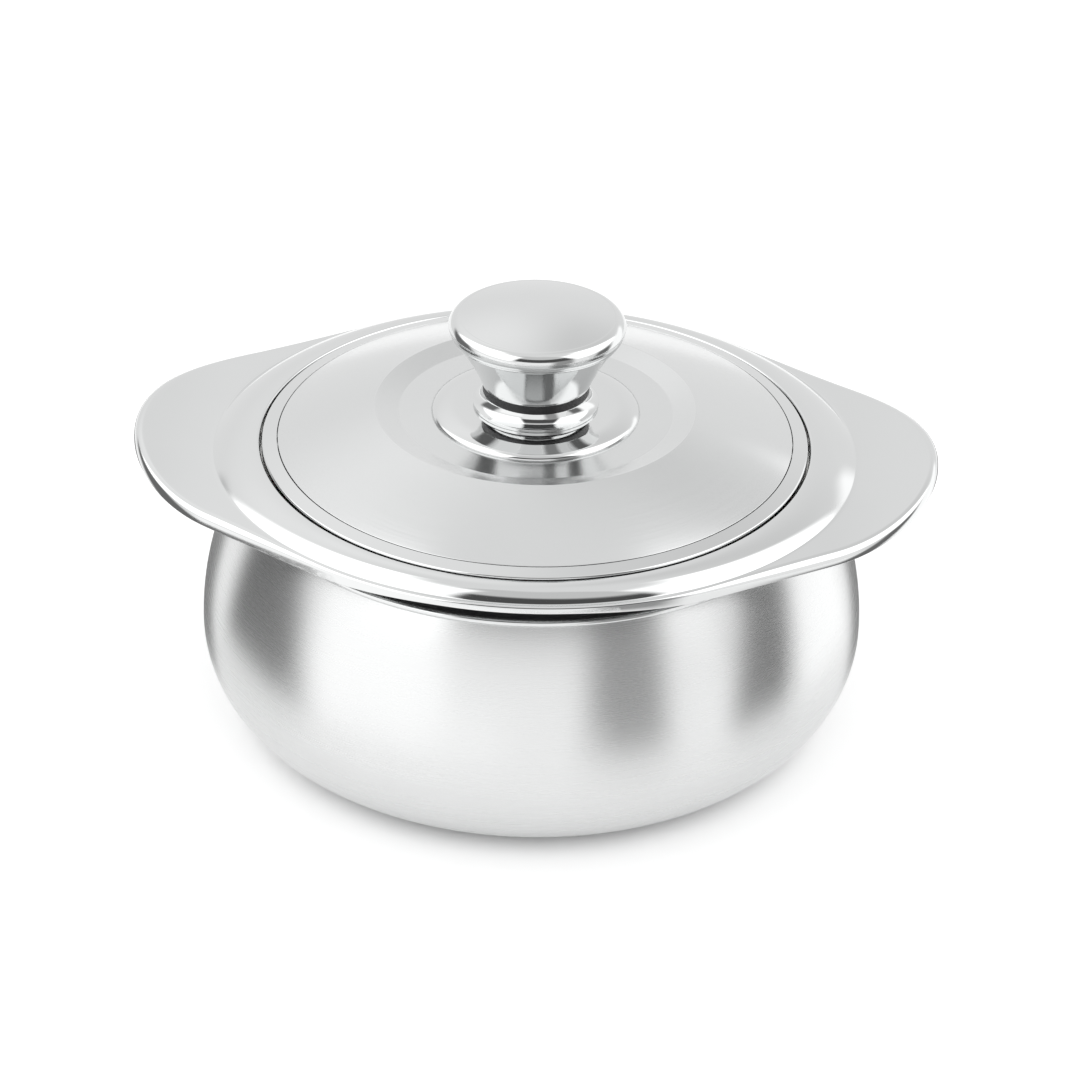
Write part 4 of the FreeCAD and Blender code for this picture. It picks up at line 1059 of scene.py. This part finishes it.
class Studio(bpy.types.Operator):
    """Pale floor, soft light and camera"""
    bl_idname = "casserole.studio"
    bl_label = "Studio"
    bl_options = {"REGISTER", "UNDO"}

    def execute(self, context):
        """Builds the stage."""
        studio = context.scene.casserole_studio
        self.lay_floor(context, studio)
        self.light_world(context)
        for index, card in enumerate(CARDS):
            self.stand_card(context, studio, index, *card)
        self.set_camera(context, studio)
        context.scene.view_settings.view_transform = "Standard"
        return {"FINISHED"}

    def lay_floor(self, context, studio):
        """A flat disc just under the bowl's foot, with a glow that only the camera and reflections see. The glow
        fades out towards the foot, which paints a darker ring there on top of the real shadow.
        """
        angle = np.arange(FLOOR_SIDES) * (2 * math.pi / FLOOR_SIDES)
        rim = studio.floor_radius * np.stack([np.cos(angle), np.sin(angle), np.zeros(FLOOR_SIDES)], axis=1)
        rim[:, 2] = -FLOOR_DROP
        mesh = bpy.data.meshes.new("floor")
        mesh.from_pydata(rim.tolist(), [], [list(range(FLOOR_SIDES))])
        material, nodes, place = new_material("pale_floor")
        shader = nodes.add("ShaderNodeBsdfPrincipled", {
            "Base Color": context.scene.casserole_finishes.floor, "Roughness": 0.8, "Specular IOR Level": 0.2})
        path = nodes.add("ShaderNodeLightPath").outputs
        seen = nodes.join("MAXIMUM", path["Is Camera Ray"], path["Is Glossy Ray"])
        seen = nodes.join("MAXIMUM", seen, path["Is Transmission Ray"])
        # Near the foot the glow is left out: painted shadow round the base, added to the real one.
        away = nodes.add("ShaderNodeVectorMath", {0: place}, operation="LENGTH").outputs["Value"]
        beyond = nodes.span(away, PAINTED_SHADOW_RANGE, (0.0, FLOOR_GLOW), interpolation_type="SMOOTHSTEP")
        glow = nodes.add("ShaderNodeEmission", {"Strength": nodes.join("MULTIPLY", seen, beyond)})
        both = nodes.add("ShaderNodeAddShader", {0: shader.outputs["BSDF"], 1: glow.outputs["Emission"]})
        nodes.add("ShaderNodeOutputMaterial", {"Surface": both.outputs["Shader"]})
        material.cycles.emission_sampling = "NONE"
        mesh.materials.append(material)
        floor = bpy.data.objects.new("floor", mesh)
        context.collection.objects.link(floor)

    def light_world(self, context):
        """Even white all round."""
        world = bpy.data.worlds.new("studio")
        nodes = Nodes(world)
        light = nodes.add("ShaderNodeBackground", {"Color": (1.0, 1.0, 1.0, 1.0), "Strength": 1.0})
        nodes.add("ShaderNodeOutputWorld", {"Surface": light.outputs["Background"]})
        context.scene.world = world

    def stand_card(self, context, studio, index, name, *sizes):
        """One card, which only reflections show."""
        *sizes, distance, brightness = sizes
        belly = context.scene.casserole_bowl.belly_radius
        places, quads, cover = card_surface(*sizes, distance + studio.card_step * index, studio.turn, belly)
        mesh = bpy.data.meshes.new(name)
        mesh.from_pydata(places, [], quads.tolist())
        covered = mesh.attributes.new("cover", "FLOAT", "POINT")
        covered.data.foreach_set("value", cover.astype(np.float32))
        material = bpy.data.materials.new(name)
        nodes = Nodes(material)
        glow = nodes.add("ShaderNodeEmission", {"Strength": brightness})
        clear = nodes.add("ShaderNodeBsdfTransparent")
        here = nodes.add("ShaderNodeAttribute", attribute_name="cover")
        blend = nodes.add("ShaderNodeMixShader", {
            0: here.outputs["Fac"], 1: clear.outputs["BSDF"], 2: glow.outputs["Emission"]})
        nodes.add("ShaderNodeOutputMaterial", {"Surface": blend.outputs["Shader"]})
        material.cycles.emission_sampling = "NONE"
        mesh.materials.append(material)
        card = bpy.data.objects.new(name, mesh)
        card.visible_camera = False
        card.visible_diffuse = False
        card.visible_transmission = False
        card.visible_volume_scatter = False
        card.visible_shadow = False
        context.collection.objects.link(card)

    def set_camera(self, context, studio):
        """Camera on its circle round the bowl, looking at the aim point."""
        aim = Vector((0.0, 0.0, studio.aim_height))
        level = math.cos(studio.elevation)
        back = Vector((math.sin(studio.turn) * level, -math.cos(studio.turn) * level, math.sin(studio.elevation)))
        side = Vector((0.0, 0.0, 1.0)).cross(back).normalized()
        upward = back.cross(side)
        tilted_side = side * math.cos(studio.roll) + upward * math.sin(studio.roll)
        tilted_up = upward * math.cos(studio.roll) - side * math.sin(studio.roll)
        data = bpy.data.cameras.new("camera")
        data.lens = studio.lens
        data.sensor_width = SENSOR_WIDTH
        data.shift_x, data.shift_y = studio.shift
        camera = bpy.data.objects.new("camera", data)
        turned = Matrix((tilted_side, tilted_up, back)).transposed().to_4x4()
        camera.matrix_world = Matrix.Translation(aim + back * studio.distance) @ turned
        context.collection.objects.link(camera)
        context.scene.camera = camera


class CasserolePanel(bpy.types.Panel):
    """Buttons of the casserole in the sidebar."""
    bl_label = "Casserole"
    bl_idname = "VIEW3D_PT_casserole"
    bl_space_type = "VIEW_3D"
    bl_region_type = "UI"
    bl_category = "Casserole"

    def draw(self, context):
        """One button for each operator."""
        for operator in OPERATORS:
            self.layout.operator(operator.bl_idname)


GROUPS = {
    "casserole_bowl": BowlSizes,
    "casserole_plate": PlateSizes,
    "casserole_lid": LidSizes,
    "casserole_knob": KnobSizes,
    "casserole_finishes": Finishes,
    "casserole_studio": StudioSettings,
}
OPERATORS = [OuterBowl, BaseParts, NeckRing, InnerBowl, HandlePlate, LidShells, Knob, HiddenParts, Studio]


def register():
    """Registers the groups, operators and panel."""
    for item in [*GROUPS.values(), *OPERATORS, CasserolePanel]:
        bpy.utils.register_class(item)
    for name, group in GROUPS.items():
        setattr(bpy.types.Scene, name, PointerProperty(type=group))


def unregister():
    """Takes them away again."""
    for name in GROUPS:
        delattr(bpy.types.Scene, name)
    for item in [CasserolePanel, *reversed(OPERATORS), *reversed(GROUPS.values())]:
        bpy.utils.unregister_class(item)


def main():
    """Builds the casserole and its studio."""
    register()
    bpy.ops.casserole.outer_bowl()
    bpy.ops.casserole.base()
    bpy.ops.casserole.neck_ring()
    bpy.ops.casserole.inner_bowl()
    bpy.ops.casserole.handle_plate()
    bpy.ops.casserole.lid()
    bpy.ops.casserole.knob()
    bpy.ops.casserole.hidden_parts()
    bpy.ops.casserole.studio()


if __name__ == "__main__":
    main()
